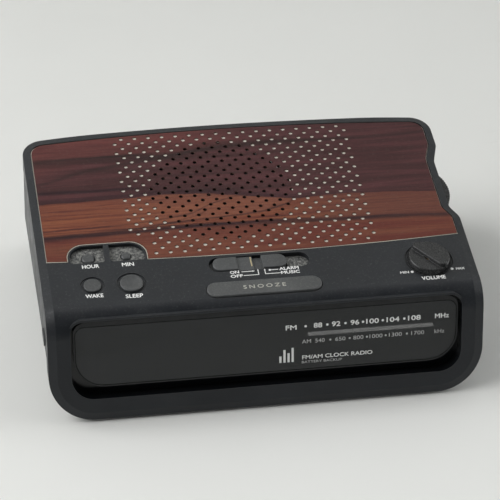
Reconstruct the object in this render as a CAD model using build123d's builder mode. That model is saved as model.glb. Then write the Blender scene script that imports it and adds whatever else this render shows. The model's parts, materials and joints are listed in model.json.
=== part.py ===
from build123d import *
import os
from math import cos, hypot, pi, radians, sin, tan

os.makedirs("parts", exist_ok=True)

# Millimetres. +Z up, +X to the right seen from the front, +Y towards the rear wall.
# The origin is on the table, under the middle of the clock radio.

# cabinet
WIDTH = 211.6
DECK_TILT = 6.0            # the deck falls towards the front
FACE_LEAN = 17.2           # the face leans back from upright
DECK_Y, DECK_Z = 22.3, 60.2
DECK_FRONT = 81.6          # deck origin to the sharp crease
DECK_REAR = 51.6
CREASE_R = 14.5
REAR_BOW = 4.5
REAR_R = 11.0
CORNER_R = 22.0            # lower corners of the face
FOOT = 1.4
WALL = 2.4
BAND = 9.0                 # how far the upper shell reaches over the sides
PART_GAP = 0.35
BEVEL, BEVEL_DROP = 4.2, 1.0
DRAFT = 0.5
SQUEEZE = 0.2              # the lower shell is narrower by this on each side

# wood-pattern inlay
POCKET = 1.0
PAD_T = 0.45
INLAY_T = 0.5
INLAY_HALF = 101.8
INLAY_REAR = 47.3
INLAY_FRONT = -41.7
INLAY_BOW = 3.3
PITCH = 7.0
HOLE_R = 1.0
PALE_EDGE = 0.35           # the adhesive sheet shows round the inlay
SPEAKER_X, SPEAKER_Y = -10.0, 2.0
SPEAKER_OPEN_R = 35.5

# finger scoop and tuning wheel
SCOOP = 3.7
WHEEL_R = 22.0
WHEEL_X, WHEEL_Y = 85.2, -2.2
WHEEL_TOP, WHEEL_T = -7.2, 4.6
DRUM_R = 15.6
CORD_Z = -22.5
CORD_T = 0.6

# face recess, lens and dial
RECESS = 7.5
RECESS_HALF = 94.9
RECESS_TOP, RECESS_LOW = 1.8, 41.3
FLOOR = 1.2
LENS_DEPTH = 2.5
LENS_T = 2.0
LENS_HALF = 92.7
LENS_TOP, LENS_LOW = 4.9, 35.4
RIM = 0.7
LEDGE_TOP = 3.2            # the frame round the lens reaches up to here
DIAL_S = 19.4              # pointer line, measured down the face
POINTER_X = 47.7
DIAL_FROM, DIAL_TO = 20.5, 82.1

# controls on the deck: x, y, radius
HOUR = (-81.5, -39.6, 3.2)
MINUTE = (-63.1, -39.6, 2.4)
WAKE = (-81.6, -59.5, 4.3)
SLEEP = (-62.9, -59.9, 5.6)
WELL_X, WELL_Y = -72.2, -42.0
WELL_L, WELL_W, WELL_R = 36.4, 19.4, 7.5
WELL_FRONT = -43.9
WELL_RIB = 2.6
WELL_DEPTH = 2.0
SNOOZE = (0.1, -68.8)
SNOOZE_L, SNOOZE_W = 56.0, 9.6
SLOT = (0.3, -51.6)
SLOT_L, SLOT_W = 49.4, 9.8
KNOB = (83.2, -58.6)
KNOB_R = 10.7
KNOB_TURN = 128.5          # direction of the knob's bar on the deck
KNOB_H = 4.8

# boards
BOARD_T = 1.6
CONTROL_Z = -12.0
MAIN_Z = -37.0

T = radians(DECK_TILT)
LEAN = radians(FACE_LEAN)
DECK = Plane(origin=(0, DECK_Y, DECK_Z), x_dir=(1, 0, 0), z_dir=(0, -sin(T), cos(T)))
CREASE = DECK.from_local_coords((0, -DECK_FRONT, 0))
FACE = Plane(origin=CREASE, x_dir=(1, 0, 0), z_dir=(0, -cos(LEAN), sin(LEAN)))


def side_point(y, z):
    """A point of the deck's own frame as (Y, Z) of the side view."""
    point = DECK.from_local_coords((0, y, z))
    return (point.Y, point.Z)


def face_point(down, depth):
    """A point down the face and behind it as (Y, Z) of the side view."""
    point = FACE.from_local_coords((0, -down, -depth))
    return (point.Y, point.Z)


def rod(plane, x, y, radius, length):
    with BuildPart() as piece:
        with BuildSketch(plane):
            with Locations((x, y)):
                Circle(radius)
        extrude(amount=length)
    return piece.part


def slab(plane, x, y, width, depth, length, corner=0.0):
    with BuildPart() as piece:
        with BuildSketch(plane):
            with Locations((x, y)):
                if corner:
                    RectangleRounded(width, depth, corner)
                else:
                    Rectangle(width, depth)
        extrude(amount=length)
    return piece.part


def stadium(plane, x, y, length, width, height):
    with BuildPart() as piece:
        with BuildSketch(plane):
            with Locations((x, y)):
                SlotOverall(length, width)
        extrude(amount=height)
    return piece.part


def save(builder, label):
    builder.part.label = label
    export_step(builder.part, f"parts/{label}.step")


FRONT_Y = CREASE.Y - (CREASE.Z - FOOT) * tan(LEAN)
REAR_Y = side_point(DECK_REAR, 0)[0]
REAR_TOP_Z = side_point(DECK_REAR, 0)[1]


def plan_face(inset, scoop):
    """Outline seen from above: straight sides, bowed rear, rounded rear corners."""
    half = WIDTH / 2 - inset
    rear = REAR_Y - inset
    corner = rear - REAR_BOW
    floor = half - SCOOP
    with BuildSketch() as plan:
        with BuildLine():
            Line((-half, -90), (half, -90))
            if scoop:
                FilletPolyline((half, -90), (half, DECK_Y - 28.5), (floor, DECK_Y - 21),
                               (floor, DECK_Y + 13.5), (half, DECK_Y + 24.5), (half, corner), radius=8)
            else:
                Line((half, -90), (half, corner))
            ThreePointArc((half, corner), (0, rear), (-half, corner))
            Line((-half, corner), (-half, -90))
        make_face()
        fillet(plan.vertices().group_by(Axis.Y)[-1], REAR_R - min(inset, 6))
    return plan.sketch


def moved_crease(inset):
    """How far back the sharp crease lies once deck and face move inwards."""
    return inset * (1 - sin(LEAN + T)) / cos(LEAN + T)


def block(inset, scoop=False, draft=0.0, squeeze=0.0):
    """The cabinet as a filled body, shrunk all over by an inset."""
    toe_y = FRONT_Y + inset / cos(LEAN) - inset * tan(LEAN)
    with BuildPart() as body:
        with BuildSketch(Plane.YZ) as side:
            with BuildLine():
                Polyline(side_point(DECK_REAR + 12, -inset),
                         side_point(-DECK_FRONT + moved_crease(inset), -inset),
                         (toe_y, FOOT + inset), (REAR_Y + 12, FOOT + inset), close=True)
            make_face()
            front = side.vertices().sort_by(Axis.X)[:2]
            fillet(front.sort_by(Axis.Y)[-1], CREASE_R - inset)
        extrude(amount=WIDTH / 2 + 5, both=True)
        with BuildSketch(Plane.XY):
            add(plan_face(inset + squeeze, scoop))
        extrude(amount=100, mode=Mode.INTERSECT)
        half = WIDTH / 2 - inset - squeeze
        low = half - (REAR_TOP_Z - FOOT) * tan(radians(draft))
        with BuildSketch(Plane.XZ) as outline:
            with BuildLine():
                Polyline((-half, REAR_TOP_Z), (-low, FOOT + inset), (low, FOOT + inset), (half, REAR_TOP_Z),
                         (half, 90), (-half, 90), close=True)
            make_face()
            fillet(outline.vertices().group_by(Axis.Y)[0], CORNER_R - inset)
        extrude(amount=120, both=True, mode=Mode.INTERSECT)
    return body.part


def zone(depth):
    """Everything further than a depth below the deck and behind the face."""
    with BuildPart() as piece:
        with BuildSketch(Plane.YZ) as side:
            with BuildLine():
                Polyline(side_point(90, -depth), side_point(-DECK_FRONT + moved_crease(depth), -depth),
                         face_point(90, depth), (140, -60), close=True)
            make_face()
            high = side.vertices().sort_by(Axis.Y)[-2:]
            fillet(high.sort_by(Axis.X)[0], max(CREASE_R - depth, 1.0))
        extrude(amount=WIDTH, both=True)
    return piece.part


def face_block(grow, top, low, half, low_r, top_r, start, depth):
    with BuildPart() as piece:
        with BuildSketch(FACE.offset(-start)) as shape:
            with Locations((0, -(top + low) / 2)):
                Rectangle(2 * (half + grow), low - top + 2 * grow)
            fillet(shape.vertices().group_by(Axis.Y)[0], low_r + grow)
            fillet(shape.vertices().group_by(Axis.Y)[-1], top_r + grow)
        extrude(amount=-depth)
    return piece.part


def inlay_prism(grow, start, height):
    """The inlay's outline on the deck, extruded along the deck's normal."""
    half = INLAY_HALF + grow
    rear = INLAY_REAR + grow
    front = INLAY_FRONT - grow
    floor = half - SCOOP
    with BuildPart() as piece:
        with BuildSketch(DECK.offset(start)) as outline:
            with BuildLine():
                FilletPolyline((half, front), (half, -29.2), (floor, -22.0), (floor, 14.2), (half, 25.0),
                               (half, rear - REAR_BOW), radius=6)
                ThreePointArc((half, rear - REAR_BOW), (0, rear), (-half, rear - REAR_BOW))
                Line((-half, rear - REAR_BOW), (-half, front))
                ThreePointArc((-half, front), (0, front - INLAY_BOW), (half, front))
            make_face()
            fillet(outline.vertices().group_by(Axis.Y)[-1], REAR_R - BEVEL)
            with Locations((WELL_X, WELL_Y)):
                RectangleRounded(WELL_L + 2 - 2 * grow, WELL_W + 2 - 2 * grow, WELL_R + 1,
                                 mode=Mode.SUBTRACT)
        extrude(amount=height)
    return piece.part


def scoop_liner(low, high):
    """The curved wall behind the finger scoop, between two depths below the deck."""
    with BuildPart() as piece:
        with BuildSketch(Plane.XY):
            add(plan_face(0.6, True))
            add(plan_face(WALL, True), mode=Mode.SUBTRACT)
        extrude(amount=100)
        add(slab(Plane.XY, WIDTH / 2, DECK_Y - 2, 17, 70, 100), mode=Mode.INTERSECT)
        add(slab(DECK.offset(-low), 0, 0, 400, 400, low - high), mode=Mode.INTERSECT)
    return piece.part


def ring(plane, x, y, outer, inner, length):
    with BuildPart() as piece:
        with BuildSketch(plane):
            with Locations((x, y)):
                Circle(outer)
                Circle(inner, mode=Mode.SUBTRACT)
        extrude(amount=length)
    return piece.part


SNOOZE_PRESS = (SNOOZE[0], SNOOZE[1] + 2.6)
PRESSES = (HOUR[:2], MINUTE[:2], WAKE[:2], SLEEP[:2], SNOOZE_PRESS)
FINE = 0.02                # two fixed pieces that touch
RUN = 0.06                 # shaft in its bore
SCREWS = ((-84, 61), (88, 61), (-96.5, -9.6), (62, -7))
BOSS_TOP = 36.0
FEET = ((-78, -52), (78, -52), (-84, 50), (84, 50))
BAY_X, BAY_Y = -40.0, -32.0
BAY_L, BAY_W, BAY_H = 50.5, 28.0, 19.5
DOOR_L, DOOR_W, DOOR_T = 54.0, 33.0, 1.8
DOOR_SLIDE = 6.0
TRANS_X, TRANS_Y = -60.0, 30.0
TRANS_Z = 8.0
BAND_Y, BAND_Z = -43.4, 30.1
BAND_L, BAND_W, BAND_TRAVEL = 10.0, 3.8, 3.0
MAIN_X, MAIN_Y = 72.0, 1.0
MAIN_L, MAIN_W = 52.0, 56.0
MAIN_POSTS = ((50, -23), (94, -23), (50, 25), (94, 25))
CONTROL_X, CONTROL_Y = 0.0, -52.0
CONTROL_L, CONTROL_W = 183.0, 33.0
CONTROL_POSTS = ((-72.2, -50.8), (-38, -52), (44, -50), (66, -44))
SLIDERS = (("power", -16.4, 3.0), ("alarm", 7.7, 4.5))
TAIL = 8.0
PULLEYS = ((14.0, -70.8), (93.0, -70.8))
PULLEY_R = 3.4
EAR_R = 41.2                # speaker screws
SEAT = Plane((TRANS_X, TRANS_Y, TRANS_Z + FINE))
ROD_X, ROD_Y, ROD_Z, ROD_R = 31.0, 34.0, -17.0, 4.0

# ---------------------------------------------------------------- upper cabinet
with BuildPart() as upper_cabinet:
    add(block(0, scoop=True))
    top = upper_cabinet.faces().filter_by(lambda f: abs(f.normal_at().dot(DECK.z_dir) - 1) < 1e-4)[0]
    chamfer(top.edges().group_by(Axis.Y)[-1][0], length=BEVEL, length2=BEVEL_DROP, reference=top)
    add(block(WALL), mode=Mode.SUBTRACT)
    add(scoop_liner(BAND, 1.0))
    # floor of the well under the hour and minute buttons
    add(slab(DECK.offset(-WELL_DEPTH - 1.8), WELL_X, -38.6, WELL_L + 3.2, 16.6, WELL_DEPTH))
    # shelf under the slide switches
    add(slab(DECK.offset(-4.0), *SLOT, SLOT_L + 3, SLOT_W + 3, 2.2))
    # face recess with a raised frame around the lens
    add(face_block(1.2, RECESS_TOP, RECESS_LOW, RECESS_HALF, 11, 6, 1.0, RECESS + FLOOR - 1.0))
    add(face_block(0, RECESS_TOP, RECESS_LOW, RECESS_HALF, 11, 6, -2, RECESS + 2), mode=Mode.SUBTRACT)
    add(face_block(RIM, LEDGE_TOP, LENS_LOW, LENS_HALF, 14, 5.2, LENS_DEPTH, RECESS + FLOOR - LENS_DEPTH))
    add(face_block(FINE, LENS_TOP, LENS_LOW, LENS_HALF, 14, 4.5, 0, LENS_DEPTH + LENS_T),
        mode=Mode.SUBTRACT)
    add(face_block(-1.4, LENS_TOP, LENS_LOW, LENS_HALF, 14, 4.5, 0, 30), mode=Mode.SUBTRACT)
    add(zone(BAND), mode=Mode.SUBTRACT)
    # pocket for the inlay, speaker opening and its spider
    add(inlay_prism(0.2, -POCKET, 6), mode=Mode.SUBTRACT)
    add(rod(DECK.offset(-8), SPEAKER_X, SPEAKER_Y, SPEAKER_OPEN_R, 12), mode=Mode.SUBTRACT)
    with BuildSketch(DECK.offset(-WALL)):
        for turn in range(4):
            with Locations(Location((SPEAKER_X, SPEAKER_Y, 0), (0, 0, 45 * turn))):
                Rectangle(2 * SPEAKER_OPEN_R + 1, 1.4)
    extrude(amount=WALL - POCKET - 0.2)
    # openings for the buttons and switches
    for x, y, radius in (HOUR, MINUTE):
        add(rod(DECK.offset(-8), x, y, radius + 0.3, 12), mode=Mode.SUBTRACT)
    with BuildSketch(DECK.offset(-WELL_DEPTH)) as wells:
        with Locations((WELL_X, WELL_Y)):
            RectangleRounded(WELL_L, WELL_W, WELL_R)
            Rectangle(WELL_RIB, WELL_W + 2, mode=Mode.SUBTRACT)
        with Locations((WELL_X, WELL_FRONT - WELL_W / 2)):
            Rectangle(WELL_L + 2, WELL_W, mode=Mode.SUBTRACT)
        fillet(wells.vertices().group_by(Axis.Y)[0], 1.6)
    extrude(amount=8, mode=Mode.SUBTRACT)
    for x, y, radius in (WAKE, SLEEP):
        add(rod(DECK.offset(-8), x, y, radius + 0.3, 12), mode=Mode.SUBTRACT)
        add(rod(DECK.offset(-0.5), x, y, radius + 1.6, 6), mode=Mode.SUBTRACT)
    add(stadium(DECK.offset(-3.2), *SNOOZE, SNOOZE_L + 0.7, SNOOZE_W + 0.7, 8), mode=Mode.SUBTRACT)
    add(stadium(DECK.offset(-2.6), *SLOT, SLOT_L, SLOT_W, 8), mode=Mode.SUBTRACT)
    for name, x, travel in SLIDERS:
        add(slab(DECK.offset(-6), x + travel / 2, SLOT[1], travel + 4.0, 3.8, 8), mode=Mode.SUBTRACT)
    add(rod(DECK.offset(-8), *KNOB, 4.2, 12), mode=Mode.SUBTRACT)
    add(rod(DECK.offset(-0.8), *KNOB, KNOB_R + 1.1, 6), mode=Mode.SUBTRACT)
    # slot for the tuning wheel
    add(rod(DECK.offset(WHEEL_TOP - WHEEL_T - 4), WHEEL_X, WHEEL_Y, WHEEL_R + 0.8, WHEEL_T + 4.7),
        mode=Mode.SUBTRACT)
    # bosses for the case screws and posts for the control board
    with BuildPart(mode=Mode.PRIVATE) as bosses:
        for x, y in SCREWS:
            add(rod(Plane.XY.offset(BOSS_TOP), x, y, 3.4, 40))
        for x, y in CONTROL_POSTS:
            add(rod(DECK.offset(CONTROL_Z), x, y, 2.6, 14))
        add(block(WALL - 0.2), mode=Mode.INTERSECT)
        for x, y in SCREWS:
            add(rod(Plane.XY.offset(BOSS_TOP - 1), x, y, 1.3, 12), mode=Mode.SUBTRACT)
        for x, y in CONTROL_POSTS:
            add(rod(DECK.offset(CONTROL_Z - 1), x, y, 1.0, 8), mode=Mode.SUBTRACT)
    add(bosses.part)
    # clips for the ferrite rod
    with BuildPart(mode=Mode.PRIVATE) as clips:
        for x in (ROD_X + 4, ROD_X + 22):
            add(slab(DECK.offset(ROD_Z - 2), x, ROD_Y, 4, 12, -ROD_Z + 1 - POCKET))
            add(rod(Plane(DECK.from_local_coords((x - 5, ROD_Y, ROD_Z)), z_dir=(1, 0, 0)), 0, 0,
                    ROD_R + FINE, 10), mode=Mode.SUBTRACT)
    add(clips.part)
save(upper_cabinet, "upper_cabinet")

# ---------------------------------------------------------------- lower cabinet
SCOOP_LOW = 16.0
with BuildPart() as lower_cabinet:
    add(block(0, draft=DRAFT, squeeze=SQUEEZE))
    add(block(WALL, draft=DRAFT, squeeze=SQUEEZE), mode=Mode.SUBTRACT)
    add(zone(BAND + PART_GAP), mode=Mode.INTERSECT)
    # tongue that reaches up inside the upper shell
    with BuildPart(mode=Mode.PRIVATE) as tongue:
        add(block(WALL + 0.2))
        add(block(WALL + 1.4), mode=Mode.SUBTRACT)
        add(zone(BAND - 2.5), mode=Mode.INTERSECT)
        add(zone(BAND + 3), mode=Mode.SUBTRACT)
        add(slab(Plane.XY, WIDTH / 2, DECK_Y - 2, 18, 72, 100), mode=Mode.SUBTRACT)
    add(tongue.part)
    with BuildPart(mode=Mode.PRIVATE) as web:
        add(block(WALL - 0.4, draft=DRAFT, squeeze=SQUEEZE))
        add(block(WALL + 1.4), mode=Mode.SUBTRACT)
        add(zone(BAND + PART_GAP), mode=Mode.INTERSECT)
        add(zone(BAND + 3), mode=Mode.SUBTRACT)
    add(web.part)
    # the finger scoop goes on below the parting line and ends in a floor
    with BuildPart(mode=Mode.PRIVATE) as hollow:
        add(slab(Plane.XY, WIDTH / 2, DECK_Y - 2, 17, 66, 100))
        with BuildSketch(Plane.XY):
            add(plan_face(0, True))
        extrude(amount=100, mode=Mode.SUBTRACT)
        add(slab(DECK.offset(-SCOOP_LOW), 0, 0, 400, 400, 60), mode=Mode.INTERSECT)
    with BuildPart(mode=Mode.PRIVATE) as floor:
        add(block(0.3, draft=DRAFT, squeeze=SQUEEZE))
        add(slab(Plane.XY, WIDTH / 2, DECK_Y - 2, 11.2, 66, 100), mode=Mode.INTERSECT)
        add(slab(DECK.offset(-SCOOP_LOW - 1.8), 0, 0, 400, 400, 1.8), mode=Mode.INTERSECT)
    add(floor.part)
    add(scoop_liner(SCOOP_LOW + 0.5, BAND + PART_GAP))
    add(hollow.part, mode=Mode.SUBTRACT)
    add(rod(DECK.offset(WHEEL_TOP - WHEEL_T - 0.7), WHEEL_X, WHEEL_Y, WHEEL_R + 0.8, WHEEL_T + 4),
        mode=Mode.SUBTRACT)
    # screw posts, board posts, transformer posts and the battery bay
    with BuildPart(mode=Mode.PRIVATE) as posts:
        for x, y in SCREWS:
            add(rod(Plane.XY, x, y, 4.4, BOSS_TOP - 0.3))
        for x, y in MAIN_POSTS:
            add(rod(DECK.offset(MAIN_Z - BOARD_T), x, y, 3.0, -40))
        for side in (-1, 1):
            add(rod(Plane.XY, TRANS_X + side * 30, TRANS_Y, 4.0, TRANS_Z))
        add(slab(Plane.XY, BAY_X, BAY_Y, BAY_L + 3.2, BAY_W + 3.2, FOOT + DOOR_T + BAY_H + 2))
        add(slab(Plane.XY, BAY_X, BAY_Y - 2, DOOR_L + 6, DOOR_W + 12, FOOT + DOOR_T + 2.4))
        add(block(WALL - 0.2, draft=DRAFT, squeeze=SQUEEZE), mode=Mode.INTERSECT)
    add(posts.part)
    for x, y in SCREWS:
        add(rod(Plane.XY, x, y, 3.3, 11), mode=Mode.SUBTRACT)
        add(rod(Plane.XY, x, y, 1.7, 60), mode=Mode.SUBTRACT)
    for x, y in MAIN_POSTS:
        add(rod(DECK.offset(MAIN_Z), x, y, 1.0, -9), mode=Mode.SUBTRACT)
    for side in (-1, 1):
        add(rod(Plane.XY.offset(FOOT + 1), TRANS_X + side * 30, TRANS_Y, 1.2, 20), mode=Mode.SUBTRACT)
    for x, y in FEET:
        add(rod(Plane.XY, x, y, 6.8, FOOT + 0.9), mode=Mode.SUBTRACT)
    add(slab(Plane.XY, BAY_X, BAY_Y, BAY_L, BAY_W, FOOT + DOOR_T + BAY_H), mode=Mode.SUBTRACT)
    add(slab(Plane.XY, BAY_X, BAY_Y - DOOR_SLIDE / 2, DOOR_L + 0.6, DOOR_W + DOOR_SLIDE + 0.6,
             FOOT + DOOR_T + 0.3), mode=Mode.SUBTRACT)
    # cord inlet in the rear wall, with a collar inside
    add(rod(Plane((-46, REAR_Y - WALL + 0.6, 20), z_dir=(0, -1, 0)), 0, 0, 7, 4.0))
    add(rod(Plane((-46, REAR_Y + 5, 20), z_dir=(0, -1, 0)), 0, 0, 3.2, 20), mode=Mode.SUBTRACT)
    # cooling slots in the rear wall and under the transformer
    with BuildSketch(Plane.XZ.offset(-REAR_Y - 6)):
        with Locations((-2, 30)):
            with GridLocations(6, 1, 12, 1):
                SlotOverall(22, 2.2, rotation=90)
    extrude(amount=14, mode=Mode.SUBTRACT)
    with BuildSketch(Plane.XY):
        with Locations((TRANS_X + 2, TRANS_Y)):
            with GridLocations(6, 1, 7, 1):
                SlotOverall(30, 2.2, rotation=90)
    extrude(amount=FOOT + WALL + 1, mode=Mode.SUBTRACT)
    # slot for the band switch in the left side
    add(slab(Plane((-WIDTH / 2 - 2, BAND_Y, BAND_Z), x_dir=(0, 1, 0), z_dir=(1, 0, 0)), 0, 0,
             BAND_TRAVEL + 6.6, 3.4, 10), mode=Mode.SUBTRACT)
save(lower_cabinet, "lower_cabinet")

# ---------------------------------------------------------------- inlay
with BuildPart() as adhesive_pad:
    add(inlay_prism(0, -POCKET + FINE, PAD_T))
    add(rod(DECK.offset(-2), SPEAKER_X, SPEAKER_Y, SPEAKER_OPEN_R + 0.2, 4), mode=Mode.SUBTRACT)
save(adhesive_pad, "adhesive_pad")

spots = []
for row in range(-1, 24):
    y = (11.5 - row) * PITCH / 2
    odd = row % 2
    for column in range(17 if odd else 18):
        x = (column + (0.5 if odd else 0) - 9) * PITCH + 4.2
        if not (x < WELL_X + 21.5 and y < -29.6):
            spots.append((x, y))
with BuildPart() as wood_inlay:
    add(inlay_prism(-PALE_EDGE, -POCKET + FINE + PAD_T + FINE, INLAY_T))
    with BuildSketch(DECK.offset(-3)):
        with Locations(*spots):
            Circle(HOLE_R)
    extrude(amount=6, mode=Mode.SUBTRACT)
save(wood_inlay, "wood_inlay")

# ---------------------------------------------------------------- lens and dial
with BuildPart() as dial_lens:
    add(face_block(-FINE, LENS_TOP, LENS_LOW, LENS_HALF, 14, 4.5, LENS_DEPTH + 0.05, LENS_T - 0.1))
    front = dial_lens.faces().filter_by(lambda f: f.normal_at().dot(FACE.z_dir) > 0.99)
    chamfer(front.edges(), 0.3)
save(dial_lens, "dial_lens")

PLATE_D = 8.8
with BuildPart() as dial_plate:
    add(slab(FACE.offset(-PLATE_D), 54.0, -19.6, 84.0, 26.0, -1.2, 2))
    add(slab(FACE.offset(-PLATE_D + 1), (DIAL_FROM + DIAL_TO) / 2, -DIAL_S, DIAL_TO - DIAL_FROM + 4, 3.0, -4),
        mode=Mode.SUBTRACT)
    for x in (13.4, 94.6):
        add(slab(FACE.offset(-PLATE_D - 1.1), x, -19.6, 2.6, 26.0, -2.8))
save(dial_plate, "dial_plate")

with BuildPart() as dial_pointer:
    add(slab(FACE.offset(-5.3), POINTER_X, -DIAL_S, 1.8, 6.4, -1.0, 0.6))
    add(slab(FACE.offset(-6.2), POINTER_X, -DIAL_S, 1.5, 2.2, -5.6))
    add(slab(FACE.offset(-11.5), POINTER_X, -DIAL_S + 0.6, 7.0, 6.0, -3.1))
save(dial_pointer, "dial_pointer")

LED_X, LED_S = -50.0, 19.6
with BuildPart() as display_board:
    add(slab(FACE.offset(-14.2), LED_X, -LED_S, 74.0, 26.0, -BOARD_T))
save(display_board, "display_board")
with BuildPart() as led_display:
    add(slab(FACE.offset(-7.4), LED_X, -LED_S, 62.0, 20.0, -6.75, 0.8))
    for place in (-22.5, -9.0, 9.0, 22.5):
        add(slab(FACE.offset(-7.4), LED_X + place, -LED_S, 11.0, 16.0, -0.6), mode=Mode.SUBTRACT)
save(led_display, "led_display")
with BuildPart() as display_filter:
    add(slab(FACE.offset(-5.9), LED_X, -LED_S, 66.0, 24.0, -0.5, 1))
save(display_filter, "display_filter")

# ---------------------------------------------------------------- buttons
for name, (x, y, radius), crown in (("hour", HOUR, -1.0), ("minute", MINUTE, -1.0),
                                    ("wake", WAKE, 0.6), ("sleep", SLEEP, 0.8)):
    under = -WELL_DEPTH - 1.8 if crown < 0 else -WALL
    with BuildPart() as button:
        add(rod(DECK.offset(under - 1.1), x, y, radius, crown - under + 1.1))
        crown_edge = button.edges().filter_by(GeomType.CIRCLE).sort_by(Axis.Z)[-1]
        fillet(crown_edge, 1.0 if crown < 0 else 0.5)
        if name == "sleep":
            ball = 16.0
            centre = DECK.from_local_coords((x, y, crown + ball - 0.7))
            with Locations(centre):
                Sphere(ball, mode=Mode.SUBTRACT)
        add(rod(DECK.offset(under - 1.1), x, y, radius + 1.1, 0.9))
        add(rod(DECK.offset(-7.4), x, y, 1.5, 7.4 + under - 1.0))
    save(button, f"{name}_button")

with BuildPart() as snooze_bar:
    add(stadium(DECK.offset(-2.5), *SNOOZE, SNOOZE_L, SNOOZE_W, 3.4))
    rim = snooze_bar.faces().sort_by(Axis.Z)[-1].edges()
    fillet(rim, 0.6)
    add(slab(DECK.offset(-3.5), SNOOZE[0], SNOOZE[1] + 1.6, SNOOZE_L + 3.6, 10.4, 0.9, 2.0))
    add(stadium(DECK.offset(-3.2), *SNOOZE, SNOOZE_L - 2.4, SNOOZE_W - 2.4, 2.6), mode=Mode.SUBTRACT)
    add(rod(DECK.offset(-7.4), *SNOOZE_PRESS, 1.6, 7.6))
save(snooze_bar, "snooze_bar")

PLUNGER_NAMES = ("hour", "minute", "wake", "sleep", "snooze")
TACT_TOP = CONTROL_Z + 3.4
with BuildPart() as tact_switches:
    for x, y in PRESSES:
        add(slab(DECK.offset(CONTROL_Z + FINE), x, y, 6.0, 6.0, 3.4 - FINE))
        add(rod(DECK.offset(CONTROL_Z + 1.0), x, y, 1.75, 6), mode=Mode.SUBTRACT)
save(tact_switches, "tact_switches")
for name, (x, y) in zip(PLUNGER_NAMES, PRESSES):
    with BuildPart() as plunger:
        add(rod(DECK.offset(CONTROL_Z + 2.2), x, y, 1.65, -CONTROL_Z - 2.2 - 7.45))
    save(plunger, f"{name}_plunger")

# ---------------------------------------------------------------- slide switches
for name, x, travel in SLIDERS:
    sign = -1 if name == "power" else 1
    with BuildPart() as slider:
        with BuildSketch(DECK.offset(-2.5)):
            with Locations((x, SLOT[1])):
                Rectangle(12.0, 8.8)
        extrude(amount=3.0)
        outer_end = slider.edges().filter_by(Axis.Z, tolerance=10).sort_by(Axis.X)
        fillet(outer_end[:2] if sign < 0 else outer_end[-2:], 4.0)
        fillet(slider.faces().sort_by(Axis.Z)[-1].edges(), 0.5)
        # the power slider's tail runs over the alarm slider's tail
        tail_low, tail_t = (-1.5, 1.0) if sign < 0 else (-2.5, 0.9)
        add(slab(DECK.offset(tail_low), x - sign * (5.6 + TAIL / 2), SLOT[1], TAIL, 9.0, tail_t))
        add(slab(DECK.offset(-8.2), x, SLOT[1], 3.6, 3.2, 6.0))
        add(slab(DECK.offset(-8.5), x, SLOT[1], 2.0, 1.8, 2.8), mode=Mode.SUBTRACT)
    save(slider, f"{name}_slider")
    with BuildPart() as lever:
        add(slab(DECK.offset(-10.6), x, SLOT[1], 1.9, 1.7, 4.8))
    save(lever, f"{name}_lever")
with BuildPart() as slide_switches:
    for name, x, travel in SLIDERS:
        add(slab(DECK.offset(CONTROL_Z + FINE), x + travel / 2, SLOT[1], travel + 9.0, 7.0, 3.2))
        add(slab(DECK.offset(CONTROL_Z + 1.2), x + travel / 2, SLOT[1], travel + 2.4, 2.1, 6),
            mode=Mode.SUBTRACT)
save(slide_switches, "slide_switches")

LEFT = Plane((-WIDTH / 2, BAND_Y, BAND_Z), x_dir=(0, 1, 0), z_dir=(-1, 0, 0))
with BuildPart() as band_slider:
    add(slab(LEFT.offset(-0.40), 0, 0, BAND_L, BAND_W, 0.75, 0.8))
    add(slab(LEFT.offset(-9.0), 0, 0, 3.6, 2.8, 8.6))
save(band_slider, "band_slider")
with BuildPart() as band_switch:
    add(slab(LEFT.offset(-14.0), BAND_TRAVEL / 2, 0, 16.0, 7.6, 6.4))
    add(slab(LEFT.offset(-11.0), BAND_TRAVEL / 2, 0, 8.0, 3.2, 6.4), mode=Mode.SUBTRACT)
save(band_switch, "band_switch")

# ---------------------------------------------------------------- volume control
with BuildPart() as volume_knob:
    with BuildSketch(DECK.offset(-0.5)):
        with Locations(KNOB):
            Circle(KNOB_R)
    extrude(amount=3.3, taper=12)
    fillet(volume_knob.faces().sort_by(Axis.Z)[-1].edges(), 0.6)
    with BuildSketch(DECK.offset(0.5)):
        with Locations(Location((KNOB[0], KNOB[1], 0), (0, 0, KNOB_TURN))):
            SlotOverall(2 * KNOB_R - 0.4, 5.4)
    extrude(amount=KNOB_H - 0.5, taper=6)
    bar_top = volume_knob.faces().filter_by(lambda f: abs(f.normal_at().dot(DECK.z_dir) - 1) < 1e-3)
    fillet(bar_top.sort_by(Axis.Z)[-1].edges(), 0.45)
    add(rod(DECK.offset(-1), *KNOB, 3.0 + RUN, 4.2), mode=Mode.SUBTRACT)
save(volume_knob, "volume_knob")
with BuildPart() as volume_shaft:
    add(rod(DECK.offset(-8.4), *KNOB, 3.0, 11.3))
    add(slab(DECK.offset(1.2), KNOB[0] - 2.6, KNOB[1], 2.2, 8.0, 3.0), mode=Mode.SUBTRACT)
save(volume_shaft, "volume_shaft")
with BuildPart() as volume_pot:
    add(rod(DECK.offset(CONTROL_Z + FINE), *KNOB, 8.0, 5.2))
    add(rod(DECK.offset(CONTROL_Z + 5.0), *KNOB, 3.9, 2.6))
    add(rod(DECK.offset(CONTROL_Z + 2.9), *KNOB, 3.0 + RUN, 9), mode=Mode.SUBTRACT)
save(volume_pot, "volume_pot")

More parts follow.
